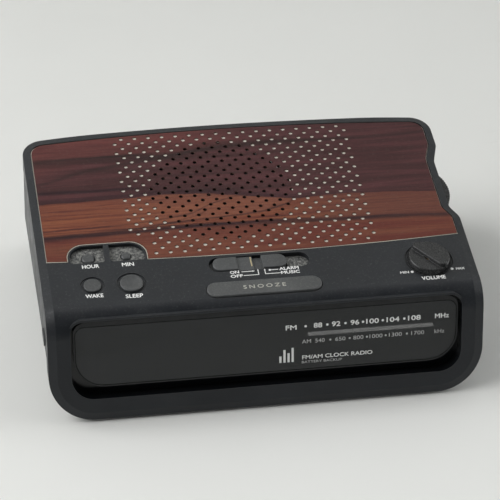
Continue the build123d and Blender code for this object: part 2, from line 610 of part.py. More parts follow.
# ---------------------------------------------------------------- tuning drive
with BuildPart() as tuning_wheel:
    add(rod(DECK.offset(WHEEL_TOP - WHEEL_T), WHEEL_X, WHEEL_Y, WHEEL_R, WHEEL_T))
    with BuildSketch(DECK.offset(WHEEL_TOP - WHEEL_T)):
        with Locations((WHEEL_X, WHEEL_Y)):
            with PolarLocations(WHEEL_R + 0.25, 90):
                Circle(0.5)
    extrude(amount=WHEEL_T, mode=Mode.SUBTRACT)
    add(rod(DECK.offset(WHEEL_TOP - 1.2), WHEEL_X, WHEEL_Y, WHEEL_R - 3.0, 3), mode=Mode.SUBTRACT)
    add(rod(DECK.offset(CORD_Z - 2.2), WHEEL_X, WHEEL_Y, 7.0, -CORD_Z + WHEEL_TOP - 1.5))
    add(rod(DECK.offset(CORD_Z - 2.2), WHEEL_X, WHEEL_Y, DRUM_R + 0.8, 4.4))
    add(ring(DECK.offset(CORD_Z - 0.8), WHEEL_X, WHEEL_Y, DRUM_R + 3, DRUM_R, 1.6), mode=Mode.SUBTRACT)
    add(rod(DECK.offset(CORD_Z - 5), WHEEL_X, WHEEL_Y, 3.0 + RUN, 30), mode=Mode.SUBTRACT)
save(tuning_wheel, "tuning_wheel")
TUNER_TOP = CORD_Z - 3.4
with BuildPart() as tuning_shaft:
    add(rod(DECK.offset(TUNER_TOP - 3.0), WHEEL_X, WHEEL_Y, 3.0, WHEEL_TOP - 1.6 - TUNER_TOP + 3.0))
    add(rod(DECK.offset(WHEEL_TOP - 10), WHEEL_X, WHEEL_Y, 1.25, 12), mode=Mode.SUBTRACT)
save(tuning_shaft, "tuning_shaft")
with BuildPart() as wheel_screw:
    add(rod(DECK.offset(WHEEL_TOP - 1.2 + FINE), WHEEL_X, WHEEL_Y, 4.2, 1.1))
    add(rod(DECK.offset(WHEEL_TOP - 8), WHEEL_X, WHEEL_Y, 1.2, 7))
    add(slab(DECK.offset(WHEEL_TOP - 0.9), WHEEL_X, WHEEL_Y, 5.0, 0.9, 3), mode=Mode.SUBTRACT)
    add(slab(DECK.offset(WHEEL_TOP - 0.9), WHEEL_X, WHEEL_Y, 0.9, 5.0, 3), mode=Mode.SUBTRACT)
save(wheel_screw, "wheel_screw")
with BuildPart() as tuning_capacitor:
    add(slab(DECK.offset(MAIN_Z + FINE), WHEEL_X, WHEEL_Y, 20, 20, TUNER_TOP - MAIN_Z - 0.8, 1.0))
    add(rod(DECK.offset(TUNER_TOP - 1), WHEEL_X, WHEEL_Y, 5.0, 0.9))
    add(rod(DECK.offset(TUNER_TOP - 3.4), WHEEL_X, WHEEL_Y, 3.0 + RUN, 6), mode=Mode.SUBTRACT)
save(tuning_capacitor, "tuning_capacitor")

with BuildPart() as dial_cord:
    with BuildSketch(DECK.offset(CORD_Z - CORD_T / 2)):
        with BuildSketch(mode=Mode.PRIVATE) as wide:
            with Locations((WHEEL_X, WHEEL_Y)):
                Circle(DRUM_R + 0.35 + CORD_T)
            with Locations(*PULLEYS):
                Circle(PULLEY_R + 0.35 + CORD_T)
            make_hull()
        with BuildSketch(mode=Mode.PRIVATE) as narrow:
            with Locations((WHEEL_X, WHEEL_Y)):
                Circle(DRUM_R + 0.35)
            with Locations(*PULLEYS):
                Circle(PULLEY_R + 0.35)
            make_hull()
        add(wide.sketch)
        add(narrow.sketch, mode=Mode.SUBTRACT)
    extrude(amount=CORD_T)
save(dial_cord, "dial_cord")
for name, (x, y) in zip(("left", "right"), PULLEYS):
    with BuildPart() as pulley:
        add(rod(DECK.offset(CORD_Z - 1.4), x, y, PULLEY_R + 0.9, 2.8))
        add(ring(DECK.offset(CORD_Z - 0.7), x, y, PULLEY_R + 2, PULLEY_R, 1.4), mode=Mode.SUBTRACT)
        add(rod(DECK.offset(CORD_Z - 3), x, y, 1.5 + RUN, 6), mode=Mode.SUBTRACT)
    save(pulley, f"{name}_pulley")
with BuildPart() as pulley_pins:
    for x, y in PULLEYS:
        add(rod(DECK.offset(CORD_Z - 2.4), x, y, 1.5, 7.0))
        add(rod(DECK.offset(CORD_Z - 2.4), x, y, 2.4, 0.8))
        add(rod(DECK.offset(CORD_Z + 1.7), x, y, 2.4, CONTROL_Z - BOARD_T - 0.05 - CORD_Z - 1.7))
save(pulley_pins, "pulley_pins")

# ---------------------------------------------------------------- boards
with BuildPart() as control_board:
    add(slab(DECK.offset(CONTROL_Z), CONTROL_X, CONTROL_Y, CONTROL_L, CONTROL_W, -BOARD_T))
    for x, y in CONTROL_POSTS:
        add(rod(DECK.offset(CONTROL_Z + 1), x, y, 1.3, -6), mode=Mode.SUBTRACT)
save(control_board, "control_board")
with BuildPart() as main_board:
    add(slab(DECK.offset(MAIN_Z), MAIN_X, MAIN_Y, MAIN_L, MAIN_W, -BOARD_T))
    for x, y in MAIN_POSTS:
        add(rod(DECK.offset(MAIN_Z + 1), x, y, 1.3, -6), mode=Mode.SUBTRACT)
save(main_board, "main_board")
with BuildPart() as inner_screws:
    for x, y in CONTROL_POSTS:
        add(rod(DECK.offset(CONTROL_Z - BOARD_T - FINE), x, y, 2.3, -1.6))
        add(rod(DECK.offset(CONTROL_Z - BOARD_T - 0.1), x, y, 0.95, 6.0))
    for x, y in MAIN_POSTS:
        add(rod(DECK.offset(MAIN_Z + FINE), x, y, 2.3, 1.6))
        add(rod(DECK.offset(MAIN_Z + 0.1), x, y, 0.95, -7.0))
    for turn in range(4):
        angle = pi / 4 + turn * pi / 2
        ear = (SPEAKER_X + EAR_R * cos(angle), SPEAKER_Y + EAR_R * sin(angle))
        add(rod(DECK.offset(-3.72), *ear, 1.5, -1.3))
        add(rod(DECK.offset(-3.8), *ear, 0.95, 1.3))
    for side in (-1, 1):
        add(rod(SEAT.offset(1.15), side * 30, 0, 3.0, 1.8))
        add(rod(SEAT.offset(1.3), side * 30, 0, 1.1, -5.6))
save(inner_screws, "inner_screws")

UNDER = DECK.offset(CONTROL_Z - BOARD_T - FINE)
with BuildPart() as board_chips:
    add(slab(UNDER, -8, -52, 36, 13.6, -4.0, 0.4))
    add(slab(DECK.offset(MAIN_Z + FINE), 62, 16, 20, 7, 4.0, 0.4))
save(board_chips, "board_chips")
with BuildPart() as coil_cans:
    for x, y in ((56, -6), (60, -19), (70, -19), (80, -19)):
        add(slab(DECK.offset(MAIN_Z + FINE), x, y, 7, 7, 8.6, 0.6))
        add(rod(DECK.offset(MAIN_Z + 7.8), x, y, 1.8, 3), mode=Mode.SUBTRACT)
save(coil_cans, "coil_cans")
with BuildPart() as capacitors:
    for x, y in ((54, 5), (66, 5), (84, 22)):
        add(rod(DECK.offset(MAIN_Z + FINE), x, y, 4.0, 10.0))
        add(rod(DECK.offset(MAIN_Z + 9.7), x, y, 3.2, 3), mode=Mode.SUBTRACT)
save(capacitors, "capacitors")

with BuildPart() as ferrite_rod:
    add(rod(Plane(DECK.from_local_coords((ROD_X, ROD_Y, ROD_Z)), z_dir=(1, 0, 0)), 0, 0, ROD_R, 50))
save(ferrite_rod, "ferrite_rod")
with BuildPart() as aerial_coil:
    add(ring(Plane(DECK.from_local_coords((ROD_X + 29, ROD_Y, ROD_Z)), z_dir=(1, 0, 0)), 0, 0, 5.2,
             ROD_R + FINE, 16))
save(aerial_coil, "aerial_coil")

# ---------------------------------------------------------------- loudspeaker
with BuildPart() as speaker_basket:
    add(rod(DECK.offset(-3.7), SPEAKER_X, SPEAKER_Y, 43.0, 1.2))
    with BuildSketch(DECK.offset(-3.6)):
        with Locations((SPEAKER_X, SPEAKER_Y)):
            Circle(39.0)
    with BuildSketch(DECK.offset(-17.0)):
        with Locations((SPEAKER_X, SPEAKER_Y)):
            Circle(22.0)
    loft()
    with BuildSketch(DECK.offset(-2.4)):
        with Locations((SPEAKER_X, SPEAKER_Y)):
            Circle(38.2)
    with BuildSketch(DECK.offset(-16.0)):
        with Locations((SPEAKER_X, SPEAKER_Y)):
            Circle(21.0)
    loft(mode=Mode.SUBTRACT)
    add(rod(DECK.offset(-20), SPEAKER_X, SPEAKER_Y, 10.4, 20), mode=Mode.SUBTRACT)
    for turn in range(4):
        angle = pi / 4 + turn * pi / 2
        hub = DECK.from_local_coords((SPEAKER_X, SPEAKER_Y, -14.6))
        ray = DECK.from_local_coords((SPEAKER_X + 30 * cos(angle), SPEAKER_Y + 30 * sin(angle), -14.6))
        add(rod(Plane(hub, z_dir=ray - hub), 0, 0, 5.0, 45), mode=Mode.SUBTRACT)
    for turn in range(4):
        angle = pi / 4 + turn * pi / 2
        add(rod(DECK.offset(-5), SPEAKER_X + EAR_R * cos(angle), SPEAKER_Y + EAR_R * sin(angle), 1.0, 4),
            mode=Mode.SUBTRACT)
save(speaker_basket, "speaker_basket")
with BuildPart() as speaker_magnet:
    add(ring(DECK.offset(-17.1), SPEAKER_X, SPEAKER_Y, 18.0, 8.3, -2.0))
    add(ring(DECK.offset(-19.12), SPEAKER_X, SPEAKER_Y, 20.0, 11.0, -7.0))
    add(rod(DECK.offset(-26.14), SPEAKER_X, SPEAKER_Y, 18.0, -2.0))
    add(rod(DECK.offset(-26.2), SPEAKER_X, SPEAKER_Y, 6.6, 9.0))
save(speaker_magnet, "speaker_magnet")
with BuildPart() as speaker_cone:
    with BuildSketch(Plane((0, 0, 0), x_dir=(1, 0, 0), z_dir=(0, -1, 0))) as profile:
        with BuildLine():
            Polyline((7.2, -20.5), (7.2, -13.6), (9.0, -12.6), (33.0, -3.6), (35.6, -3.2), (35.6, -3.6),
                     (33.2, -4.1), (9.2, -13.2), (7.7, -14.0), (7.7, -20.5), close=True)
        make_face()
    revolve(axis=Axis.Z)
cone = DECK.location * Pos(SPEAKER_X, SPEAKER_Y, 0) * speaker_cone.part
with BuildPart() as speaker_cone:
    add(cone)
save(speaker_cone, "speaker_cone")
with BuildPart() as dust_cap:
    with Locations((0, 0, -27.3)):
        Sphere(18.5)
        Sphere(18.1, mode=Mode.SUBTRACT)
    with Locations((0, 0, -62.0)):
        Box(60, 60, 100, mode=Mode.SUBTRACT)
cap = DECK.location * Pos(SPEAKER_X, SPEAKER_Y, 0) * dust_cap.part
with BuildPart() as dust_cap:
    add(cap)
save(dust_cap, "dust_cap")

# ---------------------------------------------------------------- power supply
with BuildPart() as transformer_core:
    add(slab(SEAT.offset(1.2), 0, 0, 40, 17, 33))
    for side in (-1, 1):
        add(slab(SEAT.offset(7.8), side * 10, 0, 7.2, 30, 20.0), mode=Mode.SUBTRACT)
save(transformer_core, "transformer_core")
with BuildPart() as transformer_coil:
    with BuildSketch(SEAT.offset(8.2)):
        RectangleRounded(26.4, 29.0, 3)
        Rectangle(13.2, 17.4, mode=Mode.SUBTRACT)
    extrude(amount=19.2)
save(transformer_coil, "transformer_coil")
with BuildPart() as transformer_bracket:
    add(slab(SEAT, 0, 0, 68, 12, 1.1, 2))
    for side in (-1, 1):
        add(slab(SEAT, side * 20.7, 0, 1.2, 12, 36.0))
        add(rod(SEAT.offset(-1), side * 30, 0, 1.7, 4), mode=Mode.SUBTRACT)
    add(slab(SEAT.offset(34.8), 0, 0, 42.6, 12, 1.2))
save(transformer_bracket, "transformer_bracket")

# ---------------------------------------------------------------- battery
BAY_FLOOR = FOOT + DOOR_T + 0.4
with BuildPart() as backup_battery:
    add(slab(Plane.XY.offset(BAY_FLOOR + 0.4), BAY_X + 1.2, BAY_Y, 44.5, 26.2, 17.4, 1.8))
    for y in (-6.3, 6.3):
        add(rod(Plane((BAY_X - 21.0, BAY_Y + y, BAY_FLOOR + 9.1), z_dir=(-1, 0, 0)), 0, 0, 3.0, 2.0))
save(backup_battery, "backup_battery")
with BuildPart() as battery_snap:
    add(slab(Plane((BAY_X - 23.3, BAY_Y, BAY_FLOOR + 9.1), x_dir=(0, 1, 0), z_dir=(-1, 0, 0)), 0, 0,
             24.0, 12.0, 1.6, 1.5))
save(battery_snap, "battery_snap")
with BuildPart() as battery_door:
    add(slab(Plane.XY.offset(FOOT), BAY_X, BAY_Y, DOOR_L, DOOR_W, DOOR_T, 1.2))
    with BuildSketch(Plane.XY.offset(FOOT - 0.5)):
        with Locations((BAY_X, BAY_Y - 8)):
            with GridLocations(1, 2.4, 1, 4):
                Rectangle(16, 1.0)
    extrude(amount=1.0, mode=Mode.SUBTRACT)
save(battery_door, "battery_door")

# ---------------------------------------------------------------- feet and screws
with BuildPart() as rubber_feet:
    for x, y in FEET:
        add(rod(Plane.XY, x, y, 6.6, FOOT + 0.85))
    fillet(rubber_feet.edges().filter_by(GeomType.CIRCLE).group_by(Axis.Z)[0], 0.6)
save(rubber_feet, "rubber_feet")
with BuildPart() as case_screws:
    for x, y in SCREWS:
        add(rod(Plane.XY.offset(9.0), x, y, 2.9, 1.95))
        add(rod(Plane.XY.offset(10.9), x, y, 1.25, 34.0))
        add(slab(Plane.XY.offset(8.0), x, y, 3.4, 0.8, 2.0), mode=Mode.SUBTRACT)
        add(slab(Plane.XY.offset(8.0), x, y, 0.8, 3.4, 2.0), mode=Mode.SUBTRACT)
save(case_screws, "case_screws")
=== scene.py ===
import json
import math

import bpy
from mathutils import Matrix, Vector


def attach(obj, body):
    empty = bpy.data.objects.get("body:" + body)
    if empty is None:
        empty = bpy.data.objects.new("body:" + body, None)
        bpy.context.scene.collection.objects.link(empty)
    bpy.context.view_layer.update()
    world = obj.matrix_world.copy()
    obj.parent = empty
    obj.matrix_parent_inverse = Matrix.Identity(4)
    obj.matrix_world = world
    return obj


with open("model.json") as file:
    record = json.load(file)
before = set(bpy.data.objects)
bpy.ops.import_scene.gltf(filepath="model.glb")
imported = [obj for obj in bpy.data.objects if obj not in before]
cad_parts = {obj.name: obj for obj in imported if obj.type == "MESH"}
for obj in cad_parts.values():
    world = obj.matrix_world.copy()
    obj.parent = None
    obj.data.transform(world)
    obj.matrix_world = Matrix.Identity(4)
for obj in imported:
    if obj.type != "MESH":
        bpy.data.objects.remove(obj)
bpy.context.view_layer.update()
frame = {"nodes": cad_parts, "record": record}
MM = 0.001

# ---------------------------------------------------------------- frames of the deck and of the face
JOINTS = {j["name"]: j for j in frame["record"]["behaviour"]["joints"]}
DECK_UP = Vector(JOINTS["volume_turn"]["axis"])
DECK_BACK = Vector((0, DECK_UP.z, -DECK_UP.y))
KNOB = (83.2, -58.6)         # middle of the volume knob on the deck, mm
RIGHT = Vector((1, 0, 0))
DECK_ZERO = Vector(JOINTS["volume_turn"]["pos_m"]) - (RIGHT * KNOB[0] + DECK_BACK * KNOB[1]) * MM
TILT = math.atan2(-DECK_UP.y, DECK_UP.z)
FACE_LEAN = math.radians(17.2)
FACE_OUT = Vector((0, -math.cos(FACE_LEAN), math.sin(FACE_LEAN)))
FACE_UP = Vector((0, math.sin(FACE_LEAN), math.cos(FACE_LEAN)))
CREASE_FRONT = 81.6        # from the deck's zero forward to where the planes of deck and face meet, mm
ROUND_R = 14.5             # radius that rounds this crease, mm
ROUND_BACK = 9.56          # from the crease back to the axis of the rounding, mm
CREASE = DECK_ZERO - DECK_BACK * CREASE_FRONT * MM
ROUND_AXIS = CREASE + (DECK_BACK * ROUND_BACK - DECK_UP * ROUND_R) * MM
LENS_DOWN = 20.15          # the lens's middle, measured down the face, mm
LENS_FRONT = 2.55          # the lens's front, measured behind the face, mm
LENS_MIDDLE = CREASE - (FACE_UP * LENS_DOWN + FACE_OUT * LENS_FRONT) * MM
PRINT_T = 0.012            # thickness of the printed ink, mm


def deck_frame(x, y, z):
    """Matrix that lays a flat piece, drawn in mm, on the deck."""
    origin = DECK_ZERO + (RIGHT * x + DECK_BACK * y + DECK_UP * z) * MM
    axes = Matrix((RIGHT, DECK_BACK, DECK_UP)).transposed().to_4x4()
    return Matrix.Translation(origin) @ axes @ Matrix.Scale(MM, 4)


def lens_frame(x, down, out):
    """Matrix that lays a flat piece, drawn in mm, on the front of the lens."""
    origin = LENS_MIDDLE + (RIGHT * x + FACE_UP * (LENS_DOWN - down) + FACE_OUT * out) * MM
    axes = Matrix((RIGHT, FACE_UP, FACE_OUT)).transposed().to_4x4()
    return Matrix.Translation(origin) @ axes @ Matrix.Scale(MM, 4)


# ---------------------------------------------------------------- material graphs
class Graph:
    """A small helper for writing node materials as expressions."""

    def __init__(self, name):
        self.material = bpy.data.materials.new(name)
        self.material.use_nodes = True
        self.tree = self.material.node_tree
        self.tree.nodes.clear()
        self.out = self.tree.nodes.new("ShaderNodeOutputMaterial")
        self.shader = self.tree.nodes.new("ShaderNodeBsdfPrincipled")
        self.tree.links.new(self.shader.outputs[0], self.out.inputs[0])
        place = self.tree.nodes.new("ShaderNodeTexCoord")
        self.object_place = place.outputs["Object"]
        self.mm = self.vector("SCALE", self.object_place, scale=1 / MM)

    def feed(self, socket, value):
        if isinstance(value, bpy.types.NodeSocket):
            self.tree.links.new(value, socket)
        elif isinstance(value, (tuple, list)) and len(value) == 3 and socket.type == "RGBA":
            socket.default_value = (*value, 1)
        else:
            socket.default_value = value

    def math(self, kind, a, b=None, clamp=False):
        node = self.tree.nodes.new("ShaderNodeMath")
        node.operation = kind
        node.use_clamp = clamp
        for socket, value in zip(node.inputs, (a, b)):
            if value is not None:
                self.feed(socket, value)
        return node.outputs[0]

    def add(self, a, b):
        return self.math("ADD", a, b)

    def sub(self, a, b):
        return self.math("SUBTRACT", a, b)

    def mul(self, a, b):
        return self.math("MULTIPLY", a, b)

    def vector(self, kind, a, b=None, scale=None):
        node = self.tree.nodes.new("ShaderNodeVectorMath")
        node.operation = kind
        self.feed(node.inputs[0], a)
        if b is not None:
            self.feed(node.inputs[1], b)
        if scale is not None:
            self.feed(node.inputs["Scale"], scale)
        return node.outputs["Value"] if kind in ("DOT_PRODUCT", "LENGTH") else node.outputs[0]

    def parts(self, a):
        node = self.tree.nodes.new("ShaderNodeSeparateXYZ")
        self.feed(node.inputs[0], a)
        return node.outputs

    def joined(self, x, y, z=0.0):
        node = self.tree.nodes.new("ShaderNodeCombineXYZ")
        for socket, value in zip(node.inputs, (x, y, z)):
            self.feed(socket, value)
        return node.outputs[0]

    def deck(self):
        """Place in mm in the deck's own frame."""
        node = self.tree.nodes.new("ShaderNodeMapping")
        self.feed(node.inputs["Vector"], self.mm)
        node.inputs["Rotation"].default_value = (-TILT, 0, 0)
        zero = Matrix.Rotation(-TILT, 3, "X") @ DECK_ZERO
        node.inputs["Location"].default_value = tuple(-v / MM for v in zero)
        return node.outputs[0]

    def stretch(self, place, x, y, z):
        return self.vector("MULTIPLY", place, (x, y, z))

    def noise(self, place, scale=1.0, detail=3.0, rough=0.5):
        node = self.tree.nodes.new("ShaderNodeTexNoise")
        self.feed(node.inputs["Vector"], place)
        node.inputs["Scale"].default_value = scale
        node.inputs["Detail"].default_value = detail
        node.inputs["Roughness"].default_value = rough
        return node.outputs["Fac"]

    def cells(self, place, scale):
        """Distance to the nearest cell point."""
        node = self.tree.nodes.new("ShaderNodeTexVoronoi")
        self.feed(node.inputs["Vector"], place)
        node.inputs["Scale"].default_value = scale
        return node.outputs["Distance"]

    def step(self, value, low, high, to_low=0.0, to_high=1.0):
        """Smooth step from to_low at low to to_high at high."""
        node = self.tree.nodes.new("ShaderNodeMapRange")
        node.interpolation_type = "SMOOTHSTEP"
        self.feed(node.inputs["Value"], value)
        for key, number in (("From Min", low), ("From Max", high), ("To Min", to_low), ("To Max", to_high)):
            self.feed(node.inputs[key], number)
        return node.outputs[0]

    def ridge(self, value, width):
        """1 where value is zero, falling away to both sides."""
        ratio = self.math("DIVIDE", value, width)
        return self.math("POWER", math.e, self.mul(self.mul(ratio, ratio), -1.0))

    def curve(self, value, points):
        """A smooth curve through (in, out) points, both from 0 to 1."""
        node = self.tree.nodes.new("ShaderNodeFloatCurve")
        line = node.mapping.curves[0]
        for place, (x, y) in enumerate(points):
            if place < 2:
                line.points[place].location = (x, y)
            else:
                line.points.new(x, y)
        node.mapping.update()
        self.feed(node.inputs["Value"], value)
        return node.outputs[0]

    def mix(self, factor, a, b):
        node = self.tree.nodes.new("ShaderNodeMix")
        node.data_type = "RGBA"
        self.feed(node.inputs["Factor"], factor)
        self.feed(node.inputs[6], a)
        self.feed(node.inputs[7], b)
        return node.outputs[2]

    def scaled(self, colour, amount):
        """Colour times a number."""
        return self.vector("SCALE", colour, scale=amount)

    def upward(self):
        """How far the surface faces straight up."""
        node = self.tree.nodes.new("ShaderNodeNewGeometry")
        return self.parts(node.outputs["Normal"])[2]

    def normal_along(self, direction):
        """How far the surface faces that direction."""
        node = self.tree.nodes.new("ShaderNodeNewGeometry")
        return self.vector("DOT_PRODUCT", node.outputs["Normal"], tuple(direction))

    def edges(self, radius):
        """1 within radius mm of an edge, 0 on flat faces."""
        soft = self.tree.nodes.new("ShaderNodeBevel")
        soft.samples = 6
        soft.inputs["Radius"].default_value = radius * MM
        shape = self.tree.nodes.new("ShaderNodeNewGeometry")
        return self.step(self.vector("DOT_PRODUCT", soft.outputs[0], shape.outputs["Normal"]), 0.985, 0.9)

    def bump(self, height, strength, distance=0.1):
        node = self.tree.nodes.new("ShaderNodeBump")
        node.inputs["Strength"].default_value = strength
        node.inputs["Distance"].default_value = distance * MM
        self.feed(node.inputs["Height"], height)
        self.feed(self.shader.inputs["Normal"], node.outputs[0])

    def set(self, **values):
        names = {"colour": "Base Color", "rough": "Roughness", "metal": "Metallic", "alpha": "Alpha",
                 "specular": "Specular IOR Level", "sheen": "Sheen Weight"}
        for key, value in values.items():
            self.feed(self.shader.inputs[names[key]], value)
        return self.material


def plastic(name, colour, rough=0.42, grain=0.35, spread=0.18, specular=0.5, dust=0.0, edge_highlight=0.0):
    """Moulded plastic: a fine spark-eroded grain, faint handling marks, a little dust on what faces up, and a
    painted highlight on the edges when asked.
    """
    g = Graph(name)
    cloud = g.noise(g.mm, 0.03, 4, 0.6)
    fine = g.noise(g.mm, 1.6, 3, 0.6)
    tone = g.add(g.step(cloud, 0.3, 0.7, 1 - spread, 1 + spread), g.step(fine, 0.3, 0.7, -0.06, 0.06))
    base = g.scaled(colour, tone)
    rub = g.noise(g.stretch(g.mm, 0.5, 0.06, 0.3), 1.0, 5, 0.65)
    marks = g.step(rub, 0.66, 0.72, 0.0, 0.35)
    pale = tuple(min(1.0, c * 2.2 + 0.03) for c in colour)
    base = g.mix(g.mul(marks, 0.5), base, pale)
    if dust:
        level = g.step(g.upward(), 0.5, 1.0)
        speck = g.step(g.noise(g.mm, 0.9, 6, 0.7), 0.45, 0.72)
        base = g.mix(g.mul(g.mul(level, speck), dust), base, (0.32, 0.31, 0.29))
    # painted highlight: the edges are mixed towards pale grey by that amount
    if edge_highlight:
        base = g.mix(g.mul(g.edges(0.35), edge_highlight), base, (0.22, 0.22, 0.22))
    g.bump(g.noise(g.mm, 3.2, 2, 0.5), grain, 0.03)
    uneven = g.step(fine, 0.2, 0.8, rough - 0.05, rough + 0.05)
    return g.set(colour=base, rough=g.add(uneven, g.mul(marks, -0.1)), specular=specular)


# Limits of the glossy recess round the lens, whose colour is darkened as painted shade, mm: half its width,
# half its height measured along the face, how deep it goes behind the face, and the height where the rounded
# crease starts.
RECESS_HALF_X, RECESS_HALF_UP, RECESS_DEEP, CREASE_UP = 96.0, 22.5, 9.5, 10.8
# the way the recess walls with the painted reflection face
PAINTED_REFLECTION_TOWARD = (0.72, -0.23, -0.65)       # right, front and down


def shell_plastic():
    """Charcoal cabinet plastic, with dust in the button wells and the slider slot and fine scratches."""
    g = Graph("cabinet_charcoal")
    _, y, z = g.parts(g.deck())
    cloud = g.noise(g.mm, 0.025, 4, 0.6)
    fine = g.noise(g.mm, 1.4, 3, 0.6)
    tone = g.add(g.step(cloud, 0.3, 0.7, 0.86, 1.14), g.step(fine, 0.3, 0.7, -0.05, 0.05))
    base = g.scaled((0.0135, 0.0155, 0.0185), tone)
    # hairline scratches in three directions
    scratched = None
    for turn, length, seed in ((0.35, 0.02, 3.0), (-0.9, 0.03, 11.0), (1.5, 0.025, 23.0)):
        node = g.tree.nodes.new("ShaderNodeMapping")
        g.feed(node.inputs["Vector"], g.mm)
        node.inputs["Rotation"].default_value = (0.2, 0.1, turn)
        node.inputs["Location"].default_value = (seed, seed, seed)
        line = g.noise(g.stretch(node.outputs[0], length, 1.3, 1.3), 1.0, 1, 0.4)
        hair = g.mul(g.ridge(g.sub(line, 0.5), 0.006), g.step(g.noise(node.outputs[0], 0.05, 2), 0.56, 0.68))
        scratched = hair if scratched is None else g.math("MAXIMUM", scratched, hair)
    base = g.mix(g.mul(scratched, 0.22), base, (0.16, 0.165, 0.17))
    # dust lies on level surfaces, thickest at the bottom of the wells and at the free end of the slot
    level = g.step(g.normal_along(DECK_UP), 0.6, 0.98)
    mottled = g.noise(g.mm, 0.8, 6, 0.7)
    low = g.mul(g.step(z, -1.7, -1.95), g.step(y, -62.0, -60.0))      # z and y on the deck, mm
    film = g.mul(g.step(mottled, 0.52, 0.8), 0.16)
    deep = g.mul(g.step(mottled, 0.38, 0.66, 0.12, 0.95), g.mul(low, g.step(z, -5.0, -4.2)))
    base = g.mix(g.mul(level, g.math("MAXIMUM", film, deep)), base, (0.30, 0.30, 0.28))
    # corners a little paler from rubbing, which also serves as a painted highlight along the edges
    worn_and_highlit = g.mul(g.edges(0.5), g.step(g.noise(g.mm, 0.35, 4, 0.6), 0.35, 0.65, 0.35, 1.0))
    base = g.mix(g.mul(worn_and_highlit, 0.45), base, (0.085, 0.085, 0.085))
    # the recess round the lens is smooth and glossy, and its colour is darkened there: painted shade
    flat_x, flat_y, flat_z = g.parts(g.mm)
    middle = LENS_MIDDLE / MM
    rise = g.add(g.mul(g.sub(flat_y, middle.y), FACE_UP.y), g.mul(g.sub(flat_z, middle.z), FACE_UP.z))
    behind = g.sub(LENS_FRONT, g.add(g.mul(g.sub(flat_y, middle.y), FACE_OUT.y),
                                       g.mul(g.sub(flat_z, middle.z), FACE_OUT.z)))
    axis = ROUND_AXIS / MM
    from_axis = g.vector("LENGTH", g.joined(g.sub(flat_y, axis.y), g.sub(flat_z, axis.z)))
    below_round = g.math("MAXIMUM", g.step(rise, CREASE_UP, CREASE_UP - 0.4),
                         g.step(from_axis, ROUND_R - 0.3, ROUND_R - 0.7))
    inside = g.mul(g.step(g.math("ABSOLUTE", rise), RECESS_HALF_UP, RECESS_HALF_UP - 0.5),
                   g.step(g.math("ABSOLUTE", flat_x), RECESS_HALF_X, RECESS_HALF_X - 0.5))
    in_depth = g.mul(g.step(behind, 0.3, 0.6), g.step(behind, RECESS_DEEP, RECESS_DEEP - 0.5))
    inside = g.mul(g.mul(inside, below_round), in_depth)
    base = g.mix(g.mul(inside, 0.8), base, (0.003, 0.0035, 0.004))
    # a painted reflection: paleness on the recess walls that face one way, standing in for a bright
    # reflection; it stays in any light
    painted = g.mul(inside, g.step(g.normal_along(PAINTED_REFLECTION_TOWARD), 0.80, 0.97))
    base = g.mix(g.mul(painted, 0.7), base, (0.075, 0.08, 0.08))
    g.bump(g.add(g.noise(g.mm, 3.0, 2, 0.5), g.mul(scratched, -0.6)), 0.3, 0.03)
    rough = g.add(g.step(g.noise(g.mm, 0.12, 4, 0.6), 0.3, 0.7, 0.34, 0.46), g.mul(level, g.mul(deep, 0.3)))
    rough = g.sub(rough, g.mul(inside, 0.22))
    return g.set(colour=base, rough=rough, specular=0.38)


# Where the figure of the printed wood runs: x along the grain and y across it, in mm on the deck,
# within WOOD_X to either side and WOOD_Y to front and back.
WOOD_X, WOOD_Y = 105.0, 50.0
FIGURE = {
    "tide": ((-105, -1.0), (-66, -0.8), (-40, 0.4), (-20, -0.8), (4, -4.4), (25, -8.2),
             (49, -7.2), (105, -11)),
    "streak": ((-105, -26.2), (-72, -24.8), (-36, -23.6), (0, -23.9), (48, -25.2), (78, -26.2), (105, -27.8)),
    "upper": ((-105, 30), (-60, 31.2), (-30, 29.6), (-16, 32.6), (5, 34.2), (50, 34), (105, 35.2)),
    "branch": ((-105, 12.6), (-90, 16.6), (-72, 22), (-46, 26.4), (-28, 28.6), (0, 31), (105, 34)),
    "lens": ((-105, -25), (-60, -23), (-36, -20.2), (-10, -18.2), (6, -16.3), (20, -12.4),
             (27, -8.6), (105, -9)),
    "inner": ((-105, -21), (-46, -17.5), (-28, -14.4), (-17, -8.8), (-8, -5.2), (0, -3.4), (105, -3)),
}


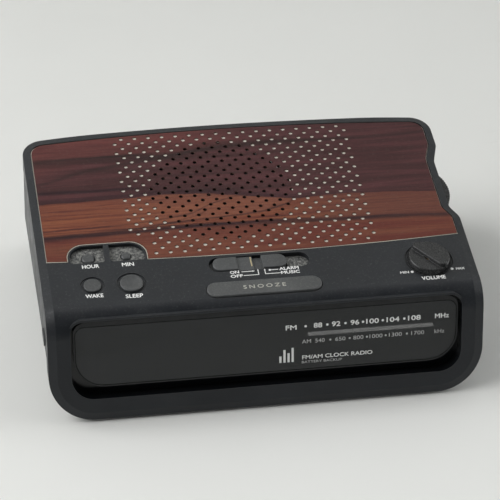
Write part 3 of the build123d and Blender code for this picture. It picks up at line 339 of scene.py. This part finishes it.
def wood_print():
    """Rosewood pattern printed on a sheet, under a satin film.

    The cut edges and the back of the sheet are pale.
    """
    g = Graph("wood_pattern_print")
    x, y = g.parts(g.deck())[:2]
    flat = g.joined(x, y, 0.0)
    along = g.math("DIVIDE", g.add(x, WOOD_X), 2 * WOOD_X)
    sway = g.sub(g.noise(g.stretch(flat, 0.022, 0.11, 1), 1.0, 3, 0.5), 0.5)
    ripple = g.sub(g.noise(g.stretch(flat, 0.085, 0.5, 1), 1.0, 4, 0.6), 0.5)
    across = g.add(y, g.add(g.mul(sway, 2.6), g.mul(ripple, 1.5)))

    def line(name):
        points = [((px + WOOD_X) / (2 * WOOD_X), (py + WOOD_Y) / (2 * WOOD_Y)) for px, py in FIGURE[name]]
        return g.sub(g.mul(g.curve(along, points), 2 * WOOD_Y), WOOD_Y)

    def off(name):
        """Distance behind that line of the figure."""
        return g.sub(across, line(name))

    broad = g.noise(g.stretch(g.joined(x, across), 0.010, 0.16, 1), 1.0, 4, 0.55)
    streaky = g.noise(g.stretch(g.joined(x, across), 0.014, 0.62, 1), 1.0, 6, 0.62)
    fibre = g.noise(g.stretch(g.joined(x, across), 0.05, 2.6, 1), 1.0, 5, 0.7)
    pore = g.step(g.noise(g.stretch(flat, 0.16, 3.4, 1), 1.0, 2, 0.5), 0.66, 0.72)

    purple = g.mix(g.step(broad, 0.35, 0.68), (0.046, 0.016, 0.016), (0.092, 0.030, 0.032))
    russet = g.mix(g.step(broad, 0.35, 0.65), (0.084, 0.025, 0.023), (0.128, 0.037, 0.033))
    amber = g.mix(g.step(streaky, 0.36, 0.66), (0.120, 0.028, 0.017), (0.245, 0.078, 0.035))
    east = g.step(x, -10.0, 78.0)
    amber = g.mix(g.mul(east, 0.82), amber, (0.118, 0.041, 0.029))
    amber = g.mix(g.mul(g.step(across, -13.0, -3.0), 0.35), amber, (0.125, 0.036, 0.026))
    upper_left = g.mul(g.step(off("upper"), -1.0, 2.5), g.step(x, 30.0, -40.0))
    low_colour = g.mix(g.step(broad, 0.35, 0.65), (0.120, 0.027, 0.018), (0.160, 0.050, 0.028))

    colour = g.mix(upper_left, purple, russet)
    reddish = g.mul(g.step(x, -105.0, -60.0, 0.55, 0.0), g.step(off("branch"), 3.0, 8.0, 0.2, 1.0))
    colour = g.mix(reddish, colour, russet)
    below = g.step(off("tide"), 0.5, -0.4)
    colour = g.mix(below, colour, amber)
    # the pointed figure in the middle is paler than what lies to its right
    island = g.mul(g.mul(below, g.step(off("lens"), -1.2, 0.6)), g.step(x, 34.0, 18.0))
    colour = g.mix(g.mul(island, g.step(x, -80.0, -20.0, 0.1, 0.55)), colour, (0.205, 0.075, 0.045))
    colour = g.mix(g.step(off("streak"), 0.6, -0.8), colour, low_colour)

    dark = (0.020, 0.006, 0.009)
    grey = (0.022, 0.010, 0.009)
    broken = g.step(streaky, 0.3, 0.6, 1.0, 0.7)
    # line, shift across the grain, half width, weight, where it fades along x, colour
    lines = (
        ("streak", 0.0, 1.7, 1.15, None, dark),
        ("tide", 2.1, 1.9, 0.85, (60.0, -10.0), dark),
        ("tide", 0.5, 0.5, 0.55, None, dark),
        ("upper", 0.0, 1.4, 0.95, None, grey),
        ("upper", -1.4, 2.6, 0.45, (20.0, -30.0), grey),
        ("branch", 0.0, 1.5, 0.85, (-10.0, -40.0), grey),
        ("lens", 0.0, 0.6, 0.9, (30.0, 20.0), dark),
        ("inner", 0.0, 0.5, 0.75, (2.0, -10.0), dark),
        ("inner", -3.2, 0.5, 0.55, (-12.0, -24.0), dark),
    )
    for name, shift, width, weight, fade, tint in lines:
        mask = g.math("MULTIPLY", g.ridge(g.sub(off(name), shift), width), weight, clamp=True)
        mask = g.mul(mask, broken)
        if fade:
            mask = g.mul(mask, g.step(x, *fade))
        colour = g.mix(mask, colour, tint)
    left_line = g.mul(g.ridge(g.sub(across, 6.7), 1.3), g.step(x, -30.0, -60.0, 0.0, 0.95))
    colour = g.mix(left_line, colour, dark)
    # scattered darker streaks, fine fibres and pores
    colour = g.mix(g.step(streaky, 0.42, 0.26, 0.0, 0.6), colour, dark)
    colour = g.scaled(colour, g.step(fibre, 0.25, 0.75, 0.70, 1.24))
    colour = g.mix(g.mul(pore, 0.35), colour, dark)
    # only the printed top face carries the pattern
    top = g.step(g.normal_along(DECK_UP), 0.5, 0.9)
    colour = g.mix(top, (0.090, 0.055, 0.040), colour)
    haze = g.step(g.noise(g.mm, 0.6, 5, 0.7), 0.5, 0.78, 0.0, 0.05)
    colour = g.mix(haze, colour, (0.35, 0.33, 0.31))
    g.bump(g.add(g.mul(fibre, 0.6), g.mul(pore, -0.6)), 0.16, 0.05)
    return g.set(colour=colour, rough=g.step(fibre, 0.2, 0.8, 0.36, 0.46), specular=0.22)


def film_white():
    g = Graph("adhesive_film")
    spots = g.noise(g.mm, 0.35, 5, 0.6)
    colour = g.mix(g.step(spots, 0.35, 0.7), (0.80, 0.77, 0.68), (0.70, 0.66, 0.57))
    g.bump(g.noise(g.mm, 1.1, 3, 0.5), 0.2, 0.05)
    return g.set(colour=colour, rough=g.step(spots, 0.3, 0.7, 0.55, 0.7))


# the clear window over the pointer: x, distance down the face, length and height, mm
STRIP_X, STRIP_DOWN, STRIP_LONG, STRIP_TALL = 50.3, 17.2, 61.9, 2.0


def smoked_lens():
    """Smoked acrylic with a clear window over the pointer, faint wipe marks and dust."""
    g = Graph("smoked_acrylic")
    x, y, z = g.parts(g.mm)
    middle = LENS_MIDDLE / MM
    rise = g.add(g.mul(g.sub(y, middle.y), FACE_UP.y), g.mul(g.sub(z, middle.z), FACE_UP.z))
    down = g.sub(LENS_DOWN, rise)
    beside = g.math("ABSOLUTE", g.sub(x, STRIP_X))
    above = g.math("ABSOLUTE", g.sub(down, STRIP_DOWN))
    window = g.mul(g.step(beside, STRIP_LONG / 2, STRIP_LONG / 2 - 0.3),
                   g.step(above, STRIP_TALL / 2, STRIP_TALL / 2 - 0.2))
    wipe = g.noise(g.stretch(g.mm, 0.02, 0.09, 0.09), 1.0, 4, 0.6)
    dust = g.step(g.cells(g.mm, 0.55), 0.09, 0.03)
    rare = g.mul(dust, g.step(g.noise(g.mm, 0.16, 3), 0.52, 0.64))
    colour = g.mix(g.step(wipe, 0.35, 0.7), (0.0095, 0.0115, 0.0125), (0.014, 0.0155, 0.016))
    colour = g.mix(g.mul(rare, 0.3), colour, (0.35, 0.35, 0.34))
    g.bump(g.noise(g.mm, 0.06, 2), 0.06, 0.2)
    return g.set(colour=colour, alpha=g.step(window, 0.0, 1.0, 0.93, 0.06),
                 rough=g.step(wipe, 0.3, 0.7, 0.13, 0.24), specular=0.5)


def metal(name, colour, rough=0.35, brushed=(1.0, 1.0, 1.0), scale=1.0):
    g = Graph(name)
    lines = g.noise(g.stretch(g.mm, *brushed), scale, 4, 0.6)
    base = g.scaled(colour, g.step(lines, 0.25, 0.75, 0.86, 1.08))
    tarnish = g.step(g.noise(g.mm, 0.2, 5, 0.7), 0.55, 0.75)
    base = g.mix(g.mul(tarnish, 0.25), base, tuple(c * 0.5 for c in colour))
    g.bump(lines, 0.2, 0.02)
    return g.set(colour=base, metal=1.0, rough=g.step(lines, 0.2, 0.8, rough - 0.08, rough + 0.08))


def board(name="phenolic_board"):
    """Tan board with green-brown lacquered tracks and tinned joints."""
    g = Graph(name)
    weave = g.noise(g.mm, 1.2, 4, 0.6)
    base = g.mix(g.step(weave, 0.3, 0.7), (0.33, 0.20, 0.075), (0.44, 0.28, 0.12))
    wide = g.tree.nodes.new("ShaderNodeTexBrick")
    g.feed(wide.inputs["Vector"], g.mm)
    wide.inputs["Scale"].default_value = 0.22
    wide.inputs["Mortar Size"].default_value = 0.03
    tracks = g.step(wide.outputs["Fac"], 0.4, 0.6)
    base = g.mix(g.mul(tracks, 0.7), base, (0.30, 0.12, 0.03))
    pads = g.step(g.cells(g.mm, 0.27), 0.2, 0.15)
    base = g.mix(g.mul(pads, 0.8), base, (0.62, 0.60, 0.56))
    g.bump(g.add(g.mul(tracks, 0.6), pads), 0.3, 0.1)
    return g.set(colour=base, rough=0.5)


WIRE_PITCH = 0.5       # mm
RING_PITCH = 3.2       # of the rings in the loudspeaker cone, mm


def winding(name="enamelled_wire"):
    g = Graph(name)
    x, _, z = g.parts(g.mm)
    turns = g.math("SINE", g.mul(g.add(x, g.mul(z, 0.02)), 2 * math.pi / WIRE_PITCH))
    colour = g.mix(g.step(turns, -1.0, 1.0), (0.16, 0.045, 0.015), (0.60, 0.24, 0.08))
    g.bump(turns, 0.6, 0.2)
    return g.set(colour=colour, rough=0.32, metal=0.6)


def paper_cone(name="pressed_paper"):
    """Pressed paper with rings, whose middle is 9.5 mm from the middle of the cone."""
    g = Graph(name)
    x, y = g.parts(g.deck())[:2]
    reach = g.vector("LENGTH", g.joined(g.add(x, 0.7), y, 0.0))
    rings = g.math("SINE", g.mul(reach, 2 * math.pi / RING_PITCH))
    fibre = g.noise(g.mm, 1.3, 6, 0.7)
    colour = g.mix(g.step(fibre, 0.3, 0.7), (0.018, 0.017, 0.016), (0.045, 0.043, 0.04))
    g.bump(g.add(fibre, g.mul(rings, 0.5)), 0.5, 0.3)
    return g.set(colour=colour, rough=0.85, specular=0.3, sheen=0.15)


def rubber(name="foot_rubber"):
    g = Graph(name)
    grit = g.noise(g.mm, 1.5, 5, 0.7)
    colour = g.mix(g.step(grit, 0.4, 0.75), (0.022, 0.022, 0.023), (0.075, 0.072, 0.07))
    g.bump(grit, 0.4, 0.1)
    return g.set(colour=colour, rough=g.step(grit, 0.3, 0.7, 0.7, 0.88), specular=0.3)


def braid(name="braided_cord"):
    g = Graph(name)
    x, y = g.parts(g.mm)[:2]
    plait = g.mul(g.math("SINE", g.mul(g.add(x, y), 9.0)), g.math("SINE", g.mul(g.sub(x, y), 9.0)))
    colour = g.mix(g.step(plait, -1.0, 1.0), (0.42, 0.39, 0.30), (0.75, 0.72, 0.62))
    g.bump(plait, 0.7, 0.1)
    return g.set(colour=colour, rough=0.8)


def sleeve(name="battery_sleeve"):
    """Plain printed battery sleeve: dark body with a brass-coloured end band."""
    g = Graph(name)
    x = g.parts(g.mm)[0]
    scuffs = g.noise(g.mm, 0.7, 5, 0.65)
    band = g.step(x, -25.5, -25.0)
    colour = g.mix(band, (0.05, 0.055, 0.07), (0.50, 0.33, 0.10))
    colour = g.scaled(colour, g.step(scuffs, 0.3, 0.7, 0.85, 1.1))
    ends = g.step(x, -61.0, -61.5)
    colour = g.mix(ends, colour, (0.6, 0.6, 0.6))
    g.bump(scuffs, 0.2, 0.1)
    return g.set(colour=colour, rough=0.35, metal=g.mul(g.math("MAXIMUM", band, ends), 0.7))


def ink(name, colour, wear=0.25, alpha=1.0):
    """Screen-printed ink with slightly thin patches."""
    g = Graph(name)
    thin = g.noise(g.mm, 2.4, 4, 0.7)
    base = g.scaled(colour, g.step(thin, 0.35, 0.65, 1 - wear, 1.0))
    g.bump(thin, 0.2, 0.02)
    return g.set(colour=base, rough=g.step(thin, 0.3, 0.7, 0.42, 0.55), alpha=alpha)


def red_film(name="red_filter"):
    g = Graph(name)
    haze = g.noise(g.mm, 0.2, 3)
    colour = g.mix(g.step(haze, 0.3, 0.7), (0.16, 0.006, 0.006), (0.22, 0.01, 0.01))
    return g.set(colour=colour, rough=g.step(haze, 0.3, 0.7, 0.2, 0.32), alpha=0.75)


SHELL = shell_plastic()
WOOD = wood_print()
FILM = film_white()
LENS = smoked_lens()
GREY = plastic("button_grey", (0.060, 0.063, 0.064), rough=0.40, dust=0.12, edge_highlight=0.5)
SNOOZE_GREY = plastic("snooze_grey", (0.066, 0.069, 0.069), rough=0.42, dust=0.14, edge_highlight=0.5)
KNOB_BLACK = plastic("knob_black", (0.019, 0.0195, 0.020), rough=0.27, dust=0.05, edge_highlight=0.8)
INNER_BLACK = plastic("inner_black", (0.020, 0.020, 0.022), rough=0.5)
DIAL_BLACK = plastic("dial_matt_black", (0.030, 0.030, 0.032), rough=0.6)
POINTER = plastic("pointer_ivory", (0.78, 0.73, 0.62), rough=0.4, spread=0.05)
CHIP = plastic("moulded_epoxy", (0.014, 0.014, 0.015), rough=0.55, grain=0.6)
POLY = plastic("capacitor_film", (0.62, 0.60, 0.52), rough=0.35, spread=0.06)
STEEL = metal("plated_steel", (0.60, 0.60, 0.61), 0.34, (0.3, 1.5, 0.3))
BRASS = metal("turned_brass", (0.72, 0.53, 0.26), 0.28, (0.4, 0.4, 2.0))
ALLOY = metal("drawn_can", (0.72, 0.73, 0.75), 0.3, (0.6, 0.6, 0.1))
FERRITE = plastic("sintered_ferrite", (0.045, 0.045, 0.05), rough=0.55, grain=0.8)
LAMINATE = metal("laminated_core", (0.34, 0.33, 0.33), 0.45, (0.05, 3.0, 0.05), 1.4)
BOARD = board()
WIRE = winding()
PAPER = paper_cone()
RUBBER = rubber()
BRAID = braid()
SLEEVE = sleeve()
RED = red_film()
INK = ink("white_ink", (0.88, 0.88, 0.86), wear=0.15)
THIN_INK = ink("grey_ink", (0.55, 0.55, 0.54), wear=0.2)
PALE_INK = ink("snooze_ink", (0.50, 0.49, 0.43), wear=0.30)
GOLD_INK = ink("slider_ink", (0.50, 0.42, 0.24), wear=0.2)
STRIP_INK = ink("window_ink", (0.46, 0.46, 0.455), wear=0.1, alpha=0.36)

FINISH = {
    SHELL: ("upper_cabinet", "lower_cabinet", "battery_door"),
    WOOD: ("wood_inlay",), FILM: ("adhesive_pad",), LENS: ("dial_lens",), RED: ("display_filter",),
    DIAL_BLACK: ("dial_plate",), CHIP: ("board_chips",), POINTER: ("dial_pointer",),
    GREY: ("hour_button", "minute_button", "wake_button", "sleep_button", "power_slider", "alarm_slider",
           "band_slider"),
    SNOOZE_GREY: ("snooze_bar",), KNOB_BLACK: ("volume_knob", "tuning_wheel"),
    INNER_BLACK: ("tact_switches", "hour_plunger", "minute_plunger", "wake_plunger", "sleep_plunger",
                  "snooze_plunger", "power_lever", "alarm_lever", "left_pulley", "right_pulley",
                  "battery_snap", "led_display"),
    STEEL: ("slide_switches", "band_switch", "volume_pot", "inner_screws", "case_screws", "pulley_pins",
            "coil_cans", "speaker_basket", "transformer_bracket", "wheel_screw"),
    LAMINATE: ("transformer_core",), BRASS: ("volume_shaft", "tuning_shaft"),
    BOARD: ("control_board", "main_board", "display_board"), ALLOY: ("capacitors",),
    FERRITE: ("ferrite_rod", "speaker_magnet"), WIRE: ("aerial_coil", "transformer_coil"),
    PAPER: ("speaker_cone", "dust_cap"), RUBBER: ("rubber_feet",), BRAID: ("dial_cord",),
    SLEEVE: ("backup_battery",), POLY: ("tuning_capacitor",),
}
for material, nodes in FINISH.items():
    for node in nodes:
        for place in range(len(frame["nodes"][node].material_slots)):
            frame["nodes"][node].material_slots[place].material = material


# ---------------------------------------------------------------- printed lettering and marks
def piece_from(name, vertices, faces, material, body):
    mesh = bpy.data.meshes.new(name)
    mesh.from_pydata(vertices, [], faces)
    mesh.update()
    mesh.materials.append(material)
    thing = bpy.data.objects.new(name, mesh)
    bpy.context.scene.collection.objects.link(thing)
    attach(thing, body)
    return thing


LETTER_STEPS = 4             # steps along each curve of a letter
LETTER_EXTRUDE = 0.004       # before the letters are scaled to PRINT_T
STRIKE_STEP = 0.001          # each strike lies this much above the one before, mm
ROUND_STEPS = 12             # steps in half or a quarter of a turn


class Print:
    """Ink of one colour on one surface, gathered into a single piece."""

    def __init__(self, frame_of):
        self.frame_of = frame_of
        self.vertices = []
        self.faces = []

    def take(self, points, faces, matrix):
        start = len(self.vertices)
        self.vertices += [matrix @ Vector(p) for p in points]
        self.faces += [tuple(start + i for i in face) for face in faces]

    def text(self, words, x, y, height, width, bold=0.0, gap=1.0):
        """Words centred on x, y, struck several times, bold mm apart, to thicken the strokes."""
        curve = bpy.data.curves.new("words", "FONT")
        curve.body = words
        curve.align_x = "LEFT"
        curve.space_character = gap
        curve.resolution_u = LETTER_STEPS
        curve.extrude = LETTER_EXTRUDE
        holder = bpy.data.objects.new("words", curve)
        bpy.context.scene.collection.objects.link(holder)
        bpy.context.view_layer.update()
        mesh = bpy.data.meshes.new_from_object(holder.evaluated_get(bpy.context.evaluated_depsgraph_get()))
        low = Vector([min(v.co[i] for v in mesh.vertices) for i in range(3)])
        high = Vector([max(v.co[i] for v in mesh.vertices) for i in range(3)])
        size = high - low
        wide, tall, thick = width / size.x, height / size.y, PRINT_T / size.z
        points = [((v.co.x - low.x - size.x / 2) * wide, (v.co.y - low.y - size.y / 2) * tall,
                   (v.co.z - low.z) * thick) for v in mesh.vertices]
        strikes = ((-bold, 0), (bold, 0), (0, bold), (0, -bold)) if bold else ((0, 0),)
        for layer, (dx, dy) in enumerate(strikes):
            self.take(points, [tuple(f.vertices) for f in mesh.polygons],
                      self.frame_of(x + dx, y + dy, STRIKE_STEP * layer))
        bpy.data.objects.remove(holder)
        bpy.data.curves.remove(curve)
        bpy.data.meshes.remove(mesh)

    def disc(self, x, y, radius):
        sides = 2 * ROUND_STEPS
        ring = [(radius * math.cos(2 * math.pi * i / sides), radius * math.sin(2 * math.pi * i / sides))
                for i in range(sides)]
        self.plate(ring, x, y)

    def plate(self, outline, x, y):
        """A flat patch of ink with that outline, with its own small thickness."""
        n = len(outline)
        points = [(px, py, 0.0) for px, py in outline] + [(px, py, PRINT_T) for px, py in outline]
        faces = [tuple(range(n - 1, -1, -1)), tuple(range(n, 2 * n))]
        faces += [(i, (i + 1) % n, n + (i + 1) % n, n + i) for i in range(n)]
        self.take(points, faces, self.frame_of(x, y, 0.0))

    def bar(self, x, y, length, height, round_ends=False):
        half, rise = length / 2, height / 2
        if not round_ends:
            self.plate([(-half, -rise), (half, -rise), (half, rise), (-half, rise)], x, y)
            return
        outline = []
        for side in (1, -1):
            for i in range(ROUND_STEPS + 1):
                angle = math.pi * i / ROUND_STEPS - math.pi / 2
                outline.append((side * (half - rise + rise * math.cos(angle)), side * rise * math.sin(angle)))
        self.plate(outline, x, y)

    def arrow(self, x, y, size, turn):
        ring = [(size, 0), (-size * 0.6, size * 0.62), (-size * 0.6, -size * 0.62)]
        c, s = math.cos(turn), math.sin(turn)
        self.plate([(a * c - b * s, a * s + b * c) for a, b in ring], x, y)

    def finish(self, name, material, body):
        return piece_from(name, self.vertices, self.faces, material, body)


WORD_TALL, SWITCH_TALL, END_TALL = 2.35, 1.9, 1.45
STRIKES_ADD = 0.2            # what the strikes add to the width of a word, mm
THIN = 0.42                  # lines beside the sliders, mm
deck_ink = Print(lambda x, y, lift: deck_frame(x, y, lift))
for words, x, y, height, width in (
        ("HOUR", -81.0, -46.4, WORD_TALL, 8.3), ("MIN", -63.0, -46.7, WORD_TALL, 5.9),
        ("WAKE", -81.4, -66.3, WORD_TALL, 8.6), ("SLEEP", -62.6, -68.2, WORD_TALL, 8.4),
        ("VOLUME", 82.9, -70.9, WORD_TALL, 11.9),
        ("ON", -12.7, -57.4, SWITCH_TALL, 4.5), ("OFF", -12.0, -60.1, SWITCH_TALL, 6.0),
        ("ALARM", 14.0, -57.2, SWITCH_TALL, 9.6), ("MUSIC", 14.3, -59.9, SWITCH_TALL, 9.2)):
    deck_ink.text(words, x, y, height, width - STRIKES_ADD, bold=0.09)
for words, x in (("MIN", 69.5), ("MAX", 97.3)):
    deck_ink.text(words, x, -66.0, END_TALL, 4.2, bold=0.05)
for x, y in ((73.3, -66.0), (93.2, -65.9)):
    deck_ink.disc(x, y, 0.75)
# lines, arrows and a dot that lead from the words to the sliders
deck_ink.bar(-6.5, -57.5, 5.6, THIN)
deck_ink.arrow(-3.5, -57.5, 0.85, 0.0)
deck_ink.bar(-4.8, -60.1, 7.6, THIN)
deck_ink.bar(-1.2, -58.6, THIN, 3.4)
deck_ink.arrow(-1.2, -57.0, 0.7, math.pi / 2)
deck_ink.bar(6.7, -57.55, 4.0, THIN)
deck_ink.disc(4.6, -57.55, 0.62)
deck_ink.bar(5.7, -60.0, 7.6, THIN)
deck_ink.bar(2.1, -58.6, THIN, 3.2)
deck_ink.arrow(2.1, -57.0, 0.7, math.pi / 2)
deck_ink.finish("deck_lettering", INK, "cabinet")

SNOOZE_TOP = 0.9             # above the deck, mm
snooze_ink = Print(lambda x, y, lift: deck_frame(x, y, SNOOZE_TOP + lift))
snooze_ink.text("SNOOZE", 0.1, -68.7, 2.3, 20.6, bold=0.06, gap=1.45)
snooze_ink.finish("snooze_lettering", PALE_INK, "snooze")

# pale line across the end of the on/off slider's tail
TAIL_TOP = -0.5              # above the deck, mm
tail_mark = Print(lambda x, y, lift: deck_frame(x, y, TAIL_TOP + lift))
tail_mark.bar(-3.5, -50.5, 0.6, 6.2)
tail_mark.finish("slider_mark", GOLD_INK, "power")

lens_ink = Print(lambda x, y, lift: lens_frame(x, y, lift))
lens_ink.text("FM", 11.2, 13.2, 2.3, 5.2, bold=0.09)
lens_ink.text("MHz", 85.5, 12.9, 2.3, 6.8, bold=0.09)
FM_MARKS = (("88", 24.3, 4.2), ("92", 33.2, 4.3), ("96", 42.4, 4.3), ("100", 51.1, 6.3), ("104", 61.2, 6.4),
            ("108", 71.8, 6.4))
for words, x, width in FM_MARKS:
    lens_ink.text(words, x, 12.95, 2.4, width - STRIKES_ADD, bold=0.10)
for x in (18.3, 28.9, 37.8, 46.4, 56.2, 66.8):
    lens_ink.disc(x, 13.0, 0.62)
lens_ink.text("FM/AM CLOCK RADIO", 33.9, 29.2, 1.95, 34.5, bold=0.06)
# a plain group of level bars beside the words
for place, tall in ((-3.0, 3.4), (-1.0, 6.6), (1.0, 4.8), (3.0, 7.4)):
    lens_ink.bar(8.9 + place, 27.2 + (8.0 - tall) / 2, 1.1, tall)
lens_ink.finish("dial_lettering", INK, "cabinet")

fine_ink = Print(lambda x, y, lift: lens_frame(x, y, lift))
AM_MARKS = (("AM", 18.7, 4.4), ("540", 25.3, 4.6), ("650", 35.3, 5.0), ("800", 44.2, 5.0),
            ("1000", 52.9, 6.4), ("1300", 62.5, 6.4), ("1700", 73.6, 6.4), ("kHz", 84.4, 4.9))
for words, x, width in AM_MARKS:
    fine_ink.text(words, x, 20.95, 2.0, width)
for x in (30.4, 39.9, 48.4, 57.7, 68.2):
    fine_ink.disc(x, 21.0, 0.5)
fine_ink.text("BATTERY BACKUP", 26.3, 31.7, 1.3, 19.8)
fine_ink.finish("dial_fine_lettering", THIN_INK, "cabinet")

strip_ink = Print(lambda x, y, lift: lens_frame(x, y, lift))
strip_ink.bar(STRIP_X, STRIP_DOWN, STRIP_LONG, STRIP_TALL, round_ends=True)
strip_ink.finish("dial_strip", STRIP_INK, "cabinet")


def ribbon(name, path, width, low, high, material, body):
    """A narrow raised band on the deck that follows a path of x, y points."""
    points, faces = [], []
    for place, (x, y) in enumerate(path):
        before, after = path[max(place - 1, 0)], path[min(place + 1, len(path) - 1)]
        run = math.hypot(after[0] - before[0], after[1] - before[1])
        nx, ny = (before[1] - after[1]) / run * width / 2, (after[0] - before[0]) / run * width / 2
        for side, z in ((-1, low), (-1, high), (1, high), (1, low)):
            points.append(deck_frame(x + side * nx, y + side * ny, z) @ Vector((0, 0, 0)))
    for place in range(len(path) - 1):
        a, b = 4 * place, 4 * place + 4
        faces += [(a + i, b + i, b + (i + 1) % 4, a + (i + 1) % 4) for i in range(4)]
    last = len(points) - 4
    faces += [(3, 2, 1, 0), (last, last + 1, last + 2, last + 3)]
    return piece_from(name, points, faces, material, body)


INLAY_HALF, INLAY_FRONT, INLAY_BOW = 101.8, -41.7, 3.3
WELLS_X, WELLS_Y, WELLS_L, WELLS_W, WELLS_R = -72.2, -42.0, 38.7, 21.7, 8.65
EDGE_BACK = 0.08            # the pale edge's middle, measured behind the inlay's front edge, mm
EDGE_WIDE, EDGE_LOW, EDGE_HIGH = 0.30, -0.50, -0.03
EDGE_STEPS_LEFT, EDGE_STEPS_RIGHT = 8, 60


def inlay_front(x):
    """The inlay's bowed front edge."""
    bow_r = (INLAY_HALF ** 2 + INLAY_BOW ** 2) / (2 * INLAY_BOW)
    return INLAY_FRONT - INLAY_BOW + bow_r - math.sqrt(bow_r ** 2 - x ** 2) + EDGE_BACK


def front_run(start, end, steps):
    """Points along the front edge from x = start to x = end."""
    places = [start + (end - start) * i / steps for i in range(steps + 1)]
    return [(x, inlay_front(x)) for x in places]


def well_corners():
    """The two rounded corners where the inlay is cut out round the button well."""
    points = []
    for side, first in ((-1, 180), (1, 90)):
        for i in range(ROUND_STEPS + 1):
            angle = math.radians(first - 90 * i / ROUND_STEPS)
            points.append((WELLS_X + side * (WELLS_L / 2 - WELLS_R) + WELLS_R * math.cos(angle),
                           WELLS_Y + WELLS_W / 2 - WELLS_R + WELLS_R * math.sin(angle)))
    return points


corners = well_corners()
edge_path = (front_run(-INLAY_HALF, corners[0][0], EDGE_STEPS_LEFT) + corners
             + front_run(corners[-1][0], INLAY_HALF, EDGE_STEPS_RIGHT))
EDGE = plastic("film_edge", (0.50, 0.47, 0.39), rough=0.5, spread=0.25)
ribbon("inlay_edge", edge_path, EDGE_WIDE, EDGE_LOW, EDGE_HIGH, EDGE, "cabinet")


# ---------------------------------------------------------------- stage, light and camera
def stage_material():
    g = Graph("painted_table")
    cloud = g.noise(g.mm, 0.004, 3, 0.5)
    lines = g.noise(g.stretch(g.mm, 0.02, 0.25, 1), 1.0, 5, 0.7)
    scuff = g.mul(g.step(lines, 0.60, 0.72), g.step(g.noise(g.mm, 0.012, 3), 0.5, 0.66))
    colour = g.mix(g.step(cloud, 0.3, 0.7), (0.80, 0.805, 0.775), (0.83, 0.835, 0.805))
    # painted shade: the table and backdrop grow darker further back
    shade_further_back = g.step(g.parts(g.mm)[1], -100.0, 700.0, 1.0, 0.86)
    colour = g.scaled(colour, shade_further_back)
    colour = g.mix(g.mul(scuff, 0.12), colour, (0.55, 0.54, 0.52))
    g.bump(lines, 0.05, 0.1)
    return g.set(colour=colour, rough=g.step(lines, 0.3, 0.7, 0.5, 0.62), specular=0.3)


def sweep():
    """Table top that curves up into a plain backdrop."""
    wide, front, bend, back, tall = 2.4, -1.6, 0.55, 1.25, 2.2
    profile = [(front, 0.0), (bend, 0.0)]
    radius = back - bend
    for i in range(1, ROUND_STEPS + 1):
        angle = math.pi / 2 * i / ROUND_STEPS
        profile.append((bend + radius * math.sin(angle), radius - radius * math.cos(angle)))
    profile.append((back, tall))
    points = [(side * wide, y, z) for side in (-1, 1) for y, z in profile]
    n = len(profile)
    faces = [(i, n + i, n + i + 1, i + 1) for i in range(n - 1)]
    mesh = bpy.data.meshes.new("table_sweep")
    mesh.from_pydata(points, [], faces)
    for face in mesh.polygons:
        face.use_smooth = True
    mesh.materials.append(stage_material())
    thing = bpy.data.objects.new("table_sweep", mesh)
    bpy.context.scene.collection.objects.link(thing)


sweep()


AIM = (0, 0, 0.03)           # the lamps point at the middle of the radio


def area(name, place, size, power):
    lamp = bpy.data.lights.new(name, "AREA")
    lamp.shape = "RECTANGLE"
    lamp.size, lamp.size_y = size
    lamp.energy = power
    thing = bpy.data.objects.new(name, lamp)
    thing.location = place
    thing.rotation_euler = (Vector(AIM) - Vector(place)).to_track_quat("-Z", "Y").to_euler()
    bpy.context.scene.collection.objects.link(thing)


area("key_softbox", (-1.25, 0.15, 1.15), (1.3, 1.3), 18.5)
area("right_fill", (1.6, -0.1, 0.9), (1.3, 1.3), 6.0)


# how closely a direction has to match dark_toward for the patch to start, and to be at its darkest
DARK_EDGE, DARK_CORE = 0.45, 0.66


def studio(level, dark_level, dark_toward):
    """Even grey surroundings with a dark patch in front and overhead, which deck, wood and crease mirror."""
    world = bpy.data.worlds.new("studio")
    world.use_nodes = True
    tree = world.node_tree
    shade = tree.nodes["Background"]
    shade.inputs["Color"].default_value = (0.98, 0.99, 1.0, 1)
    toward = tree.nodes.new("ShaderNodeTexCoord")
    across = tree.nodes.new("ShaderNodeVectorMath")
    across.operation = "DOT_PRODUCT"
    across.inputs[1].default_value = dark_toward
    tree.links.new(toward.outputs["Generated"], across.inputs[0])
    fade = tree.nodes.new("ShaderNodeMapRange")
    fade.interpolation_type = "SMOOTHSTEP"
    for key, number in (("From Min", DARK_EDGE), ("From Max", DARK_CORE),
                        ("To Min", level), ("To Max", dark_level)):
        fade.inputs[key].default_value = number
    tree.links.new(across.outputs["Value"], fade.inputs["Value"])
    tree.links.new(fade.outputs[0], shade.inputs["Strength"])
    bpy.context.scene.world = world


studio(1.50, 0.05, (0.10, -0.62, 0.78))
bpy.context.scene.view_settings.view_transform = "Standard"

camera = bpy.data.objects.new("camera", bpy.data.cameras.new("camera"))
camera.data.lens = 164.0
camera.data.sensor_width = 36.0
camera.location = (-0.1785, -0.8750, 0.7387)
camera.rotation_euler = (0.90590, -0.04270, -0.16940)
camera.data.clip_start, camera.data.clip_end = 0.05, 10.0
bpy.context.scene.collection.objects.link(camera)
bpy.context.scene.camera = camera
